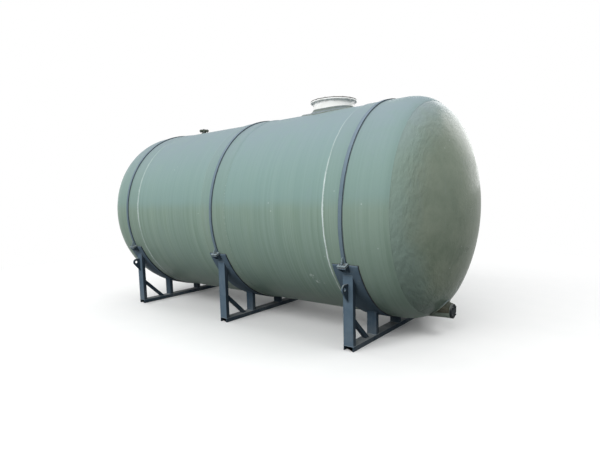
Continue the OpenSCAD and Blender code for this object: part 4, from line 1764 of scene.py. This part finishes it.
@dataclass(frozen=True)
class Manway(TopFitting):
    """The white neck, gasket, cover and bolts on the top, and the laminate round the neck.

    Attributes:
        rise: How far the bolt heads stand up, which is also how far the cover's middle does.
        segments: Straight pieces around it.
    """

    bolts: int = 16
    bolt_circle: float = 0.281
    bore: float = 0.25
    pipe: float = 0.26
    edge: float = 0.003
    hollow: float = 0.012
    rise: float = 0.0078
    segments: int = 96

    def build(self) -> None:
        """Builds the pieces."""
        neck, cover, gasket, pad = (Span.of(f"manway_{part}") for part in ("neck", "cover", "gasket", "pad"))
        sizes, finishes, edge = self.shop.sizes, self.shop.finishes, self.edge
        centre, flange_r = Vector((cover.middle.x, 0.0, 0.0)), cover.size.x / 2
        skirt = sizes.axis_z + math.sqrt(sizes.radius ** 2 - self.pipe ** 2) - 0.008
        mesh = self.neck(centre, neck.hi.z, flange_r, skirt, finishes.gelcoat, segments=self.segments,
                         wave_depth=0.0008, wave_size=0.12, seed=2.0)
        piece("manway_white_neck", mesh, finishes.gelcoat, "white_gelcoat", "manway_neck")

        lip, wide = 0.0015, flange_r - 0.001
        corners = [
            (self.bore, gasket.lo.z, lip), (self.bore, gasket.hi.z, lip), (wide, gasket.hi.z, lip),
            (wide, gasket.lo.z, lip),
        ]
        mesh = self.turn(fillet(corners, 3), centre, finishes.rubber, closed=True, segments=self.segments)
        piece("manway_seal", mesh, finishes.rubber, "black_rubber", "manway_gasket")

        ring, low, top = cover.hi.z - self.rise, cover.lo.z, cover.hi.z - 0.0002
        raised = self.bolt_circle - 0.034
        rim = [
            (flange_r - edge * (1 - math.cos(a)), ring - edge * (1 - math.sin(a)), 1.0)
            for a in (QUARTER * k / 4 for k in range(5))
        ]
        spots = [
            (0.0, low), (flange_r - 0.02, low), (flange_r - edge, low, 0.7), (flange_r, low + edge, 1.0),
            *rim, (flange_r - 0.012, ring, 0.2), (raised + 0.008, ring),
            (raised + 0.002, ring + 0.25 * self.rise), (raised - 0.002, ring + 0.75 * self.rise),
            (raised - 0.008, cover.hi.z - 0.0004), (0.12, top), (0.0, top),
        ]
        mesh = self.turn(spots, centre, finishes.lid, segments=self.segments)
        piece("manway_lid", mesh, finishes.lid, "white_gelcoat", "manway_cover")

        mesh = self.bolted(centre, (ring, neck.hi.z), (self.rise - 0.0022, 0.008), (3, 8), 0.003, 0.004,
                           finishes.clean)
        piece("manway_bolts", mesh, finishes.clean, "dark_flange_steel")
        collar = pad.hi.z - sizes.axis_z - sizes.radius
        layup = LaidPad(sizes, "manway_layup", centre.x, self.pipe, pad.size.x / 2, collar)
        piece("manway_layup", layup.build(finishes.pad), finishes.pad, "hand_laminate", "manway_pad")


@dataclass(frozen=True)
class Vent(TopFitting):
    """The flanged nozzle with its blind flange on the top."""

    bolts: int = 4
    bolt_circle: float = 0.055
    bore: float = 0.020
    pipe: float = 0.032
    edge: float = 0.0018
    hollow: float = 0.008

    def build(self) -> None:
        """Builds the pieces."""
        nozzle, blind = Span.of("vent_nozzle"), Span.of("vent_blind_flange")
        sizes, finishes = self.shop.sizes, self.shop.finishes
        centre, flange_r = Vector((blind.middle.x, 0.0, 0.0)), blind.size.x / 2
        body = self.neck(centre, nozzle.hi.z, flange_r, sizes.axis_z + sizes.radius - 0.006, finishes.pad,
                         segments=64, wave_depth=0.0008, wave_size=0.05, seed=6.0)
        layup = LaidPad(sizes, "vent_layup", centre.x, self.pipe, nozzle.size.x / 2, 0.04)
        mesh = joined([body, layup.build(finishes.pad)])
        piece("vent_pipe", mesh, finishes.pad, "hand_laminate", "vent_nozzle")
        outline = fillet([
            (0.0, blind.lo.z, 0.0), (flange_r, blind.lo.z + 0.0005, self.edge),
            (flange_r, blind.hi.z, self.edge), (0.0, blind.hi.z, 0.0),
        ])
        mesh = self.turn(outline, centre, finishes.flange, segments=64)
        piece("vent_blank", mesh, finishes.flange, "dark_flange_steel", "vent_blind_flange")
        mesh = self.bolted(centre, (blind.hi.z, nozzle.hi.z), (0.0075, 0.010), (5, 6), 0.004, 0.006,
                           finishes.zinc)
        piece("vent_bolts", mesh, finishes.zinc, "dark_flange_steel")


@dataclass(frozen=True)
class Drain:
    """The bolted blind flange on the drain nozzle, the nozzle's finish and the laminate over its top.

    Attributes:
        shop: What it is built with.
        bolts: Number of bolts.
        bolt_circle: Radius of the bolt circle.
        edge: Radius of the rounded edges.
        groove: Depth of the groove near the flange's rim.
        flare: How far the laminate on the head spreads past the nozzle.
        bury: How deep the laminate's underside lies in the nozzle.
        count: Straight pieces around the laminate.
        steps: Points from its root to its end.
    """

    shop: Workshop
    bolts: int = 4
    bolt_circle: float = 0.0625
    edge: float = 0.002
    groove: float = 0.0012
    flare: float = 0.034
    bury: float = 0.003
    count: int = 96
    steps: int = 9

    def build(self) -> None:
        """Builds the pieces and finishes the nozzle."""
        finishes, blind = self.shop.finishes, Span.of("drain_blind_flange")
        centre, radius = Vector((0.0, 0.0, blind.middle.z)), blind.size.z / 2
        back, front = blind.lo.x, blind.hi.x
        cut, floor = radius - 0.012, front - self.groove
        outline = fillet([
            (0.0, back, 0.0), (radius, back, self.edge), (radius, front, self.edge), (cut, front, 0.0),
            (cut - 0.001, floor, 0.0), (cut - 0.004, floor, 0.0), (cut - 0.005, front, 0.0),
            (0.0, front, 0.0),
        ])
        mesh = self.shop.turn(outline, Axle.LEVEL, centre, finishes.flange, segments=80)
        piece("drain_blank", mesh, finishes.flange, "dark_flange_steel", "drain_blind_flange")
        bolts = self.shop.bolt(
            centre + ALONG * front, (0.0, QUARTER, 0.0), finishes.flange, count=self.bolts,
            circle_radius=self.bolt_circle, first_angle=math.pi / 4, corner_radius=0.0139,
            head_height=0.0075, washer_radius=0.0150, washer_height=0.002, stud_radius=0.008,
            shank_length=0.004, seed=12,
        )
        piece("drain_bolts", bolts, finishes.flange, "dark_flange_steel")
        dress("drain_nozzle", finishes.pipe)
        piece("drain_layup", self.layup(back, centre.z, radius), finishes.root, "hand_laminate")

    def layup(self, face_x: float, axis_z: float, pipe: float) -> Mesh:
        """Lays the ragged hand-laid collar that flares from the head over the top of the nozzle.

        Args:
            face_x: Where the nozzle's face is along the tank.
            axis_z: Height of the nozzle's axis.
            pipe: Radius of the nozzle.

        Returns:
            The closed mesh.
        """
        sizes = self.shop.sizes
        dish, rows = DishShape(sizes.radius, sizes.tangent), []
        for k in range(self.count):
            a = FULL_TURN * k / self.count
            out = Vector((0.0, math.sin(a), math.cos(a)))
            wander = noise.fractal(Vector((out.y, out.z, 0.7)) * 3.1, 1.0, 2.0, 4)
            over = min(1.0, max(0.0, (out.z + 0.22 + 0.12 * wander) / 0.16))
            over = over * over * (3 - 2 * over)

            def head_x(reach: float) -> float:
                """Returns where the head's surface is, at a distance from the nozzle's axis."""
                return dish.surface(math.hypot(reach * out.y, axis_z + reach * out.z - sizes.axis_z))

            wide = pipe + self.flare * (1 + 0.35 * wander)
            lay, root = 0.0015 + 0.0075 * over, head_x(pipe)
            end = min(face_x - 0.003, root + 0.028 + (face_x - root) * over + 0.012 * wander)
            row = []
            for i in range(self.steps):
                share = i / (self.steps - 1)
                left = 1 - share
                reach = pipe + lay + (wide - pipe - lay) * left ** 2.2
                lump = 0.0014 * noise.noise(Vector((reach * out.y, reach * out.z, share * 0.1)) * 55) * share
                row.append((head_x(reach) * left ** 1.5 + (1 - left ** 1.5) * end + 0.0006, reach + lump))
            row += [(end, pipe - self.bury), (root - 0.012, pipe - self.bury), (head_x(wide) - 0.006, wide)]
            rows.append([Vector((x, r * out.y, axis_z + r * out.z)) for x, r in row])
        mesh = bpy.data.meshes.new("drain_layup")
        with opened(mesh) as work:
            laced(work, rows)
            bmesh.ops.recalc_face_normals(work, faces=work.faces)
        return crease(mesh, math.radians(50))


class Row(Enum):
    """Which of the three saddle frames."""

    FAR = "far"
    MIDDLE = "middle"
    NEAR = "near"


@dataclass(frozen=True)
class Section:
    """A rolled steel section, in metres.

    Attributes:
        height: Width over the web.
        flange: Width of the flanges.
        web_t: Thickness of the web.
        flange_t: Thickness of the flanges.
    """

    height: float
    flange: float
    web_t: float = 0.006
    flange_t: float = 0.008

    def outline(self) -> list[Flat]:
        """Returns the channel's outline: across the web first, and out from the web's face second."""
        half, inner = self.height / 2, self.height / 2 - self.flange_t
        return fillet([
            (-half, 0.0, 0.003), (half, 0.0, 0.003), (half, self.flange, 0.001),
            (inner, self.flange, 0.004), (inner, self.web_t, 0.008), (-inner, self.web_t, 0.008),
            (-inner, self.flange, 0.004), (-half, self.flange, 0.001),
        ])


@dataclass(frozen=True)
class SaddleFrame:
    """One saddle: base, posts, braces, curved plate, liner, strap, clamps, bolts, welds and lugs.

    Attributes:
        shop: What it is built with.
        row: Which saddle it is.
        half_angle: Half the angle that the saddle plate wraps.
        plate_t: Thickness of plate and strap.
        edge: Radius of the plate's and the strap's edges.
        rubber_edge: Radius of the rubber's edges.
        sink: How far the rubber lies in the wrap.
        clamp_t: Thickness of the clamp plates.
        clamp_out: How far they stand out.
        clamp_gap: Gap between the two clamp plates.
        corner: Radius of their corners, and what the gussets keep clear of their tips.
        gusset_t: Thickness of the gussets.
        gusset_in: Distance of the outer gussets from the plate's ends.
        strap_width: Width of the hold-down strap.
        lean: How far the strap leans along the tank at the top.
        far_lean: How far the far saddle's does.
        bolt_pitch: Distance between the clamp bolts.
        bolt_hole: Radius of their holes.
        brace_top: Height where the brace's middle meets the outer post.
        brace_reach: Distance from the outer post to the brace's foot.
        brace_t: Thickness of the brace's legs.
        lug_out: Distance of the lug's hole from the post.
        lug_root: Height of the lug on the post.
        lug_hole: Radius of the lug's hole.
        weld_in: How far the lug's welds stop short of its ends.
        bead: Radius of the weld beads.
        ripple: Length of their ripples.
    """

    shop: Workshop
    row: Row
    half_angle: float = math.radians(66)
    plate_t: float = 0.008
    edge: float = 0.0015
    rubber_edge: float = 0.0016
    sink: float = 0.002
    clamp_t: float = 0.012
    clamp_out: float = 0.068
    clamp_gap: float = 0.010
    corner: float = 0.006
    gusset_t: float = 0.008
    gusset_in: float = 0.007
    strap_width: float = 0.040
    lean: float = 0.042
    far_lean: float = 0.028
    bolt_pitch: float = 0.048
    bolt_hole: float = 0.007
    brace_top: float = 0.350
    brace_reach: float = 0.368
    brace_t: float = 0.005
    lug_out: float = 0.064
    lug_root: float = 0.200
    lug_hole: float = 0.020
    weld_in: float = 0.004
    bead: float = 0.0042
    ripple: float = 0.007

    def box(self, part: str) -> Span:
        """Returns the box of one of this saddle's nodes."""
        return Span.of(f"{self.row.value}_{part}")

    def put(self, part: str, mesh: Mesh, finish: Material, slot: str, *nodes: str) -> None:
        """Shows a piece of this saddle, named after it."""
        names = [f"{self.row.value}_{node}" for node in nodes]
        piece(f"{self.row.value}_{part}", mesh, finish, slot, *names)

    def steel(self, part: str, meshes: Sequence[Mesh], *nodes: str, finish: Material | None = None) -> None:
        """Shows painted steel with its edges kept sharp."""
        finish = finish or self.shop.finishes.paint
        self.put(part, crease(joined(meshes)), finish, "frame_paint", *nodes)

    @property
    def section(self) -> Section:
        """The channel section of base and posts."""
        base = self.box("base_channel")
        return Section(base.size.x, base.size.z)

    @property
    def x(self) -> float:
        """Place of the saddle along the tank."""
        return self.box("base_channel").middle.x

    @property
    def centre(self) -> Vector:
        """The point of the tank's axis over the saddle."""
        return Vector((self.x, 0, self.shop.sizes.axis_z))

    @property
    def floor(self) -> float:
        """Height of the base's upper face."""
        return self.box("base_channel").hi.z

    @property
    def post(self) -> float:
        """Distance of the outer posts' faces from the middle."""
        return self.box("outer_posts").hi.y

    @property
    def clamp_half(self) -> float:
        """Half the length of a clamp plate."""
        return self.box("strap_clamps").size.x / 2

    @property
    def clamp_angle(self) -> float:
        """Angle of the saddle's clamp plates, around the tank from straight down."""
        return self.half_angle - math.asin(self.clamp_t / self.shop.sizes.plate_radius) / 2

    @property
    def strap_angle(self) -> float:
        """Angle of the strap's clamp plates."""
        radius = self.shop.sizes.plate_radius
        return self.clamp_angle + math.asin(self.clamp_t / radius) + math.asin(self.clamp_gap / radius)

    def build(self) -> None:
        """Builds the pieces."""
        self.build_base()
        self.build_posts()
        self.build_braces()
        self.build_bands()
        self.build_clamps()
        if self.row is not Row.MIDDLE:
            self.build_lugs()
        self.build_welds()

    def build_base(self) -> None:
        """Builds the channel on the floor, web up."""
        base = self.box("base_channel")
        mesh = prism(
            self.section.outline(), lambda u, v: Vector((self.x + u, base.lo.y, base.hi.z - v)),
            lambda u, v: Vector((self.x + u, base.hi.y, base.hi.z - v)),
        )
        self.steel("base", [mesh], "base_channel", finish=self.shop.finishes.shaded_paint)

    def on_post(self, face: float, way: int, u: float, v: float, top: bool) -> Vector:
        """Returns a point of a post's section, on the base or under the saddle plate.

        Args:
            face: Where the post's web stands.
            way: Which way its flanges run.
            u: Distance across the web from its middle.
            v: Distance out from the web's face.
            top: Whether the point is under the saddle plate.

        Returns:
            The point.
        """
        sizes, y = self.shop.sizes, face + way * v
        z = sizes.axis_z - math.sqrt(sizes.plate_radius ** 2 - y * y) if top else self.floor
        return Vector((self.x + u, y, z))

    def post_faces(self) -> list[tuple[float, int]]:
        """Returns, for each post, where its web's face stands and which way its flanges run."""
        outer, inner = self.post, self.box("inner_posts").hi.y
        return [(-outer, 1), (outer, -1), (-inner, 1), (inner, -1), (-self.section.flange / 2, 1)]

    def build_posts(self) -> None:
        """Builds the posts from the base up to the saddle plate."""
        outline = divided(self.section.outline(), 0.02)
        posts = [
            prism(outline, *(lambda u, v, top=top: self.on_post(*stand, u, v, top) for top in (False, True)))
            for stand in self.post_faces()
        ]
        self.steel("outer_uprights", posts[:2], "outer_posts")
        self.steel("inner_uprights", posts[2:], "inner_posts", finish=self.shop.finishes.shaded_paint)

    def build_braces(self) -> None:
        """Builds the angle braces between the outer posts and the base."""
        box, flange, leg = self.box("braces"), self.section.flange, self.brace_t
        width, toe, drop = box.size.x, self.post - flange, self.brace_top - self.floor
        slope = math.atan2(drop, self.brace_reach - flange)
        outline = fillet([
            (0.0, 0.0, 0.001), (width, 0.0, 0.002), (width, width, leg / 2),
            (width - leg, width, leg / 2), (width - leg, leg, leg), (0.0, leg, leg / 2),
        ])
        sin, cos = math.sin(slope), math.cos(slope)

        def place(side: int, u: float, v: float, far: bool) -> Vector:
            """Returns a point of the brace at the post or, at its far end, on the base."""
            lift = v - width / 2
            along = (drop + lift * cos) / sin if far else (toe - box.hi.y - lift * sin) / cos
            y = -toe + along * cos + lift * sin
            return Vector((self.x - width / 2 + u, side * y, self.brace_top - along * sin + lift * cos))

        braces = [
            prism(outline, lambda u, v: place(side, u, v, False), lambda u, v: place(side, u, v, True))
            for side in (1, -1)
        ]
        self.steel("struts", braces, "braces", finish=self.shop.finishes.shaded_paint)

    def band(self, width: float, radii: Flat, angle: float, over: bool, finish: Material, edge: float,
             **inputs: Any) -> Mesh:
        """Bends a flat band round the tank.

        Args:
            width: Its width along the tank.
            radii: Its inside and outside radius.
            angle: Angle of its ends, on both sides of straight down.
            over: Whether it runs over the top of the tank, and not under it.
            finish: The material.
            edge: Radius of its rounded edges.
            inputs: Further inputs of the turning tree.

        Returns:
            The closed mesh.
        """
        left, right = self.x - width / 2, self.x + width / 2
        corners = [(r, x, edge) for r, x in zip((*radii, *radii[::-1]), (left, left, right, right))]
        spots = [(u, v, 1.0 if v > self.x else -1.0) for u, v in fillet(corners, 2)]
        start, sweep = (angle, FULL_TURN - 2 * angle) if over else (-angle, 2 * angle)
        return self.shop.turn(spots, Axle.LEVEL, self.shop.axis, finish, closed=True, start=start,
                              sweep=sweep, segments=180 if over else 120, **inputs)

    def build_bands(self) -> None:
        """Builds the saddle plate, the strap and the rubber under both."""
        sizes, finishes = self.shop.sizes, self.shop.finishes
        plate, strap = self.box("saddle_plate").size.x, self.strap_width
        steel = (sizes.liner_radius, sizes.plate_radius)
        mesh = self.band(plate, steel, self.half_angle, False, finishes.paint, self.edge)
        self.put("cradle", mesh, finishes.paint, "frame_paint", "saddle_plate")
        mesh = self.leaned(self.band(strap, steel, self.strap_angle, True, finishes.strap, self.edge))
        self.steel("holddown", [mesh], "strap", finish=finishes.strap)
        foot = sizes.plate_radius - self.plate_t / 2
        ends = [mesh for side in SIDES for mesh in self.clamp(side, self.strap_angle, foot, 1, [0.0])]
        self.steel("strap_ends", ends, finish=finishes.clamp)
        rubber = (sizes.wrap_radius - self.sink, sizes.liner_radius)
        both_lips = self.box("liner").size.x - plate
        wide = self.half_angle + math.radians(0.06)
        ragged = {"edge": self.rubber_edge, "fringe_depth": 0.004, "fringe_size": 0.12}
        mesh = self.band(plate + both_lips, rubber, wide, False, finishes.rubber, seed=21.0, **ragged)
        self.put("rubber", mesh, finishes.rubber, "black_rubber", "liner")
        mesh = self.band(strap + both_lips, rubber, wide, True, finishes.strip, seed=22.0, **ragged)
        self.put("strap_rubber", self.leaned(mesh), finishes.strip, "black_rubber")

    def leaned(self, mesh: Mesh) -> Mesh:
        """Leans a strap's band along the tank, from nothing at its clamps to the most on top.

        Args:
            mesh: The band.

        Returns:
            The same mesh.
        """
        sizes = self.shop.sizes
        foot = sizes.axis_z - sizes.plate_radius * math.cos(self.strap_angle)
        rise = sizes.axis_z + sizes.plate_radius - foot
        lean = self.far_lean if self.row is Row.FAR else self.lean
        for vert in mesh.vertices:
            share = min(1.0, max(0.0, (vert.co.z - foot) / rise))
            vert.co.x += lean * (1 - (1 - share) ** 2)
        mesh.update()
        return mesh

    def clamp_frame(self, side: int, angle: float) -> tuple[Vector, Vector]:
        """Returns the directions away from the axis, and up round the tank, at a clamp."""
        out = Vector((0, side * math.sin(angle), -math.cos(angle)))
        return out, Vector((0, side * math.cos(angle), math.sin(angle)))

    def clamp(self, side: int, angle: float, foot: float, way: int, places: Sequence[float]) -> list[Mesh]:
        """Builds one clamp plate and its gussets.

        Args:
            side: 1 for +Y, -1 for -Y.
            angle: Angle of the plate.
            foot: Radius where its foot stands.
            way: 1 where the gussets stand above it, -1 below.
            places: Places of the gussets along the plate.

        Returns:
            The meshes.
        """
        out, up = self.clamp_frame(side, angle)
        radius, half, corner = self.shop.sizes.plate_radius, self.clamp_half, self.corner
        tip, middle = radius + self.clamp_out, radius + self.clamp_out / 2
        outline = fillet([(-half, foot, 0.0), (half, foot, 0.0), (half, tip, corner), (-half, tip, corner)])
        holes = [hole(self.bolt_hole, end * self.bolt_pitch / 2, middle) for end in SIDES]
        place = framed(ALONG, out, up, at=self.centre)
        meshes = [cut_plate([outline, *holes], self.clamp_t, 0.0012, place)]
        reach = self.clamp_t / 2 + self.clamp_out
        root, swing = way * self.clamp_t / 4, math.asin(reach / foot)
        turns = [swing * k / 6 for k in range(6, 0, -1)]
        rib = [
            (root, tip - corner), (way * (self.clamp_t / 2 + self.gusset_t), tip - corner),
            (way * reach, radius + corner), *((way * foot * math.sin(a), foot * math.cos(a)) for a in turns),
            (root, foot + corner / 2),
        ]
        for along in places:
            place = framed(up, out, ALONG, at=self.centre + ALONG * along)
            meshes.append(cut_plate([rib], self.gusset_t, 0.0008, place))
        return meshes

    def build_clamps(self) -> None:
        """Builds the saddle's clamp plates and the bolts through both."""
        radius, zinc = self.shop.sizes.plate_radius, self.shop.finishes.zinc
        end = self.clamp_half - self.gusset_in
        meshes, bolts = [], []
        for side in SIDES:
            meshes += self.clamp(side, self.clamp_angle, radius, -1, [-end, end])
            for angle, way, shank, head, stud in (
                (self.clamp_angle, -1, 0.038, 0.0075, 0.0), (self.strap_angle, 1, 0.004, 0.010, 0.007),
            ):
                out, up = self.clamp_frame(side, angle)
                face = self.centre + out * (radius + self.clamp_out / 2) + up * way * self.clamp_t / 2
                turn = (up * way).to_track_quat("Z", "Y").to_euler()
                along = turn.to_matrix().inverted() @ ALONG
                bolts.append(self.shop.bolt(
                    face, tuple(turn), zinc, count=2, circle_radius=self.bolt_pitch / 2,
                    first_angle=math.atan2(along.y, along.x), corner_radius=0.0110, head_height=head,
                    washer_radius=0.0130, washer_height=0.0025, stud_radius=0.006, stud_height=stud,
                    shank_length=shank, seed=31 + side,
                ))
        self.steel("clamps", meshes, "strap_clamps")
        self.put("clamp_bolts", joined(bolts), zinc, "dark_flange_steel")

    def build_lugs(self) -> None:
        """Builds the lifting lugs on the outer posts."""
        lugs, y = self.box("lifting_lugs"), self.lug_out
        nose = lugs.hi.y - self.post - y
        z, root = lugs.hi.z - nose, lugs.hi.z - self.lug_root
        away = Vector((-y, root - z))
        bearing = math.atan2(away.y, away.x) + math.acos(nose / away.length)
        outline = [(0.0, lugs.hi.z), (0.0, root), *reversed(arc(nose, QUARTER, bearing, 24, y, z))]
        loops = [outline, hole(self.lug_hole, y, z)]
        meshes = []
        for side in SIDES:
            foot = Vector((self.x, side * self.post, 0))
            place = framed(Vector((0, side, 0)), Vector((0, 0, 1)), ALONG, at=foot)
            meshes.append(cut_plate(loops, lugs.size.x, 0.0016, place))
        self.steel("lugs", meshes, "lifting_lugs")

    def build_welds(self) -> None:
        """Lays the weld beads of the frame."""
        half, flange = self.section.height / 2, self.section.flange
        legs = [flange * k / 5 for k in range(6)]
        path = [(-half, v) for v in reversed(legs)] + [(half, v) for v in legs]
        chains = [
            [self.on_post(*stand, u, v, top) for u, v in path]
            for stand in self.post_faces() for top in (False, True)
        ]
        wide, radius = self.clamp_half, self.shop.sizes.plate_radius
        for side in SIDES:
            out, up = self.clamp_frame(side, self.clamp_angle)
            for edge in SIDES:
                foot = self.centre + out * radius + up * edge * self.clamp_t / 2
                chains.append([foot + ALONG * u for u in (-wide, 0.0, wide)])
            if self.row is not Row.MIDDLE:
                lugs = self.box("lifting_lugs")
                ends = (lugs.hi.z - self.weld_in, lugs.hi.z - self.lug_root + self.weld_in)
                for edge in SIDES:
                    u = self.x + edge * lugs.size.x / 2
                    chains.append([Vector((u, side * self.post, z)) for z in ends])
        weld = self.shop.finishes.weld
        values = {"Bead Radius": self.bead, "Ripple Length": self.ripple, "Seed": 2.0, "Material": weld}
        self.put("welds", grown(self.shop.trees.weld, chain_mesh(chains), values), weld, "frame_paint")


# ---------------------------------------------------------------- studio


@dataclass(frozen=True)
class Studio:
    """Floor, surroundings, lamps and camera.

    Attributes:
        eye: Place of the camera.
        heading: Its turn from +Y towards -X.
        pitch: Its tilt, negative downwards.
        roll: Its turn about its own axis.
        lens: Focal length in millimetres on a 36 mm wide picture.
        shift: How far the picture is shifted, as a part of its width.
        sky: Strength of the soft light from all around.
        target: Where the lamps point.
        near: Distance from the middle where the floor starts to go white.
        far: Distance where it is.
    """

    eye: Vector = Vector((4.224, -4.874, 1.618))
    heading: float = math.radians(39.595)
    pitch: float = math.radians(-6.619)
    roll: float = math.radians(-1.575)
    lens: float = 26.108
    shift: Flat = (0.01906, 0.0380)
    sky: float = 0.42
    target: Vector = Vector((0.0, 0.0, 1.4))
    near: float = 3.6
    far: float = 8.5

    def build(self) -> None:
        """Sets the whole studio up."""
        bpy.context.scene.view_settings.view_transform = "Standard"
        self.build_camera()
        self.build_world()
        self.build_floor()
        self.lamp("side_lamp", Vector((1.5, -9.5, 7.0)), (12.0, 6.0), 1140.0)
        self.lamp("head_lamp", Vector((8.0, 0.5, 8.2)), (6.0, 4.0), 310.0)
        self.lamp("rim_lamp", Vector((0.0, 11.0, 5.2)), (14.0, 6.5), 560.0, mirrored=True)
        self.lamp("tail_lamp", Vector((-10.0, -1.0, 4.5)), (6.0, 4.0), 420.0)

    def build_camera(self) -> None:
        """Places the camera."""
        data = bpy.data.cameras.new("camera")
        data.sensor_width, data.lens = 36.0, self.lens
        data.shift_x, data.shift_y = self.shift
        level = math.cos(self.pitch)
        ahead = (-math.sin(self.heading) * level, math.cos(self.heading) * level, math.sin(self.pitch))
        forward = Vector(ahead)
        right = forward.cross(Vector((0, 0, 1))).normalized()
        up = right.cross(forward)
        cos, sin = math.cos(self.roll), math.sin(self.roll)
        camera = linked("camera", data)
        camera.matrix_world = framed(cos * right + sin * up, cos * up - sin * right, -forward, at=self.eye)
        bpy.context.scene.camera = camera

    def build_world(self) -> None:
        """Makes surroundings that are white to look at and give plain soft light."""
        world = bpy.data.worlds.new("surroundings")
        net = cleared(world)
        strength = self.seen(net).remap(0.0, 1.0, self.sky, 1.0)
        background = net.add("ShaderNodeBackground", {"Color": WHITE, "Strength": strength})
        net.add("ShaderNodeOutputWorld", {"Surface": background})
        bpy.context.scene.world = world

    @staticmethod
    def seen(net: Net) -> Wire:
        """Returns 1 where a surface is looked at, directly or in a reflection."""
        path = net.add("ShaderNodeLightPath")
        mirrored = net.math("MAXIMUM", path["Is Glossy Ray"], path["Is Transmission Ray"])
        return net.math("MAXIMUM", path["Is Camera Ray"], mirrored)

    def build_floor(self) -> None:
        """Makes the pale floor, which keeps the tank's shadow and goes white far away."""
        finish = bpy.data.materials.new("studio_floor")
        net = cleared(finish)
        place = net.add("ShaderNodeTexCoord")["Object"]
        away = net.vector("LENGTH", place).remap(self.near, self.far)
        pale = net.blend(net.noise(place, 3.0, 4.0, 0.6), tint(0.86, 0.87, 0.87), tint(0.90, 0.90, 0.90))
        colour = net.blend(self.seen(net), tint(0.060, 0.065, 0.062), pale)
        inputs = {"Base Color": colour, "Roughness": 0.75, "Specular IOR Level": 0.2}
        floor = net.add("ShaderNodeBsdfPrincipled", inputs)
        glow = net.add("ShaderNodeEmission", {"Color": WHITE, "Strength": 1.0})
        mixed = net.add("ShaderNodeMixShader", {0: away * self.seen(net), 1: floor, 2: glow})
        net.add("ShaderNodeOutputMaterial", {"Surface": mixed})

        mesh = bpy.data.meshes.new("floor")
        with opened(mesh) as work:
            bmesh.ops.create_circle(work, cap_ends=True, segments=96, radius=60.0)
        mesh.transform(Matrix.Translation((0.0, 0.0, CAD_BOX[0][2] - 0.0005)))
        mesh.materials.append(finish)
        linked("floor", mesh)

    def lamp(self, name: str, place: Vector, size: Flat, power: float, mirrored: bool = False) -> None:
        """Hangs a large soft lamp.

        Args:
            name: Its name.
            place: Where it hangs.
            size: Its width and height.
            power: Its power in watts.
            mirrored: Whether glossy surfaces reflect it.
        """
        light = bpy.data.lights.new(name, "AREA")
        light.shape = "RECTANGLE"
        light.size, light.size_y = size
        light.energy = power
        lamp = linked(name, light)
        lamp.location = place
        lamp.rotation_euler = (self.target - place).to_track_quat("-Z", "Y").to_euler()
        lamp.visible_glossy, lamp.visible_camera = mirrored, False


def main() -> None:
    """Builds the tank, dresses it and sets the studio up."""
    logging.basicConfig(level=logging.INFO, format="%(name)s: %(message)s")
    Studio().build()
    effects = Effects.build()
    sizes = TankSizes.from_frame()
    shop = Workshop(sizes, Trees.build(), Finishes.build(effects, sizes.axis_z))
    LaminateTank(shop).build()
    Manway(shop).build()
    Vent(shop).build()
    Drain(shop).build()
    for row in Row:
        SaddleFrame(shop, row).build()


if __name__ == "__main__":
    main()
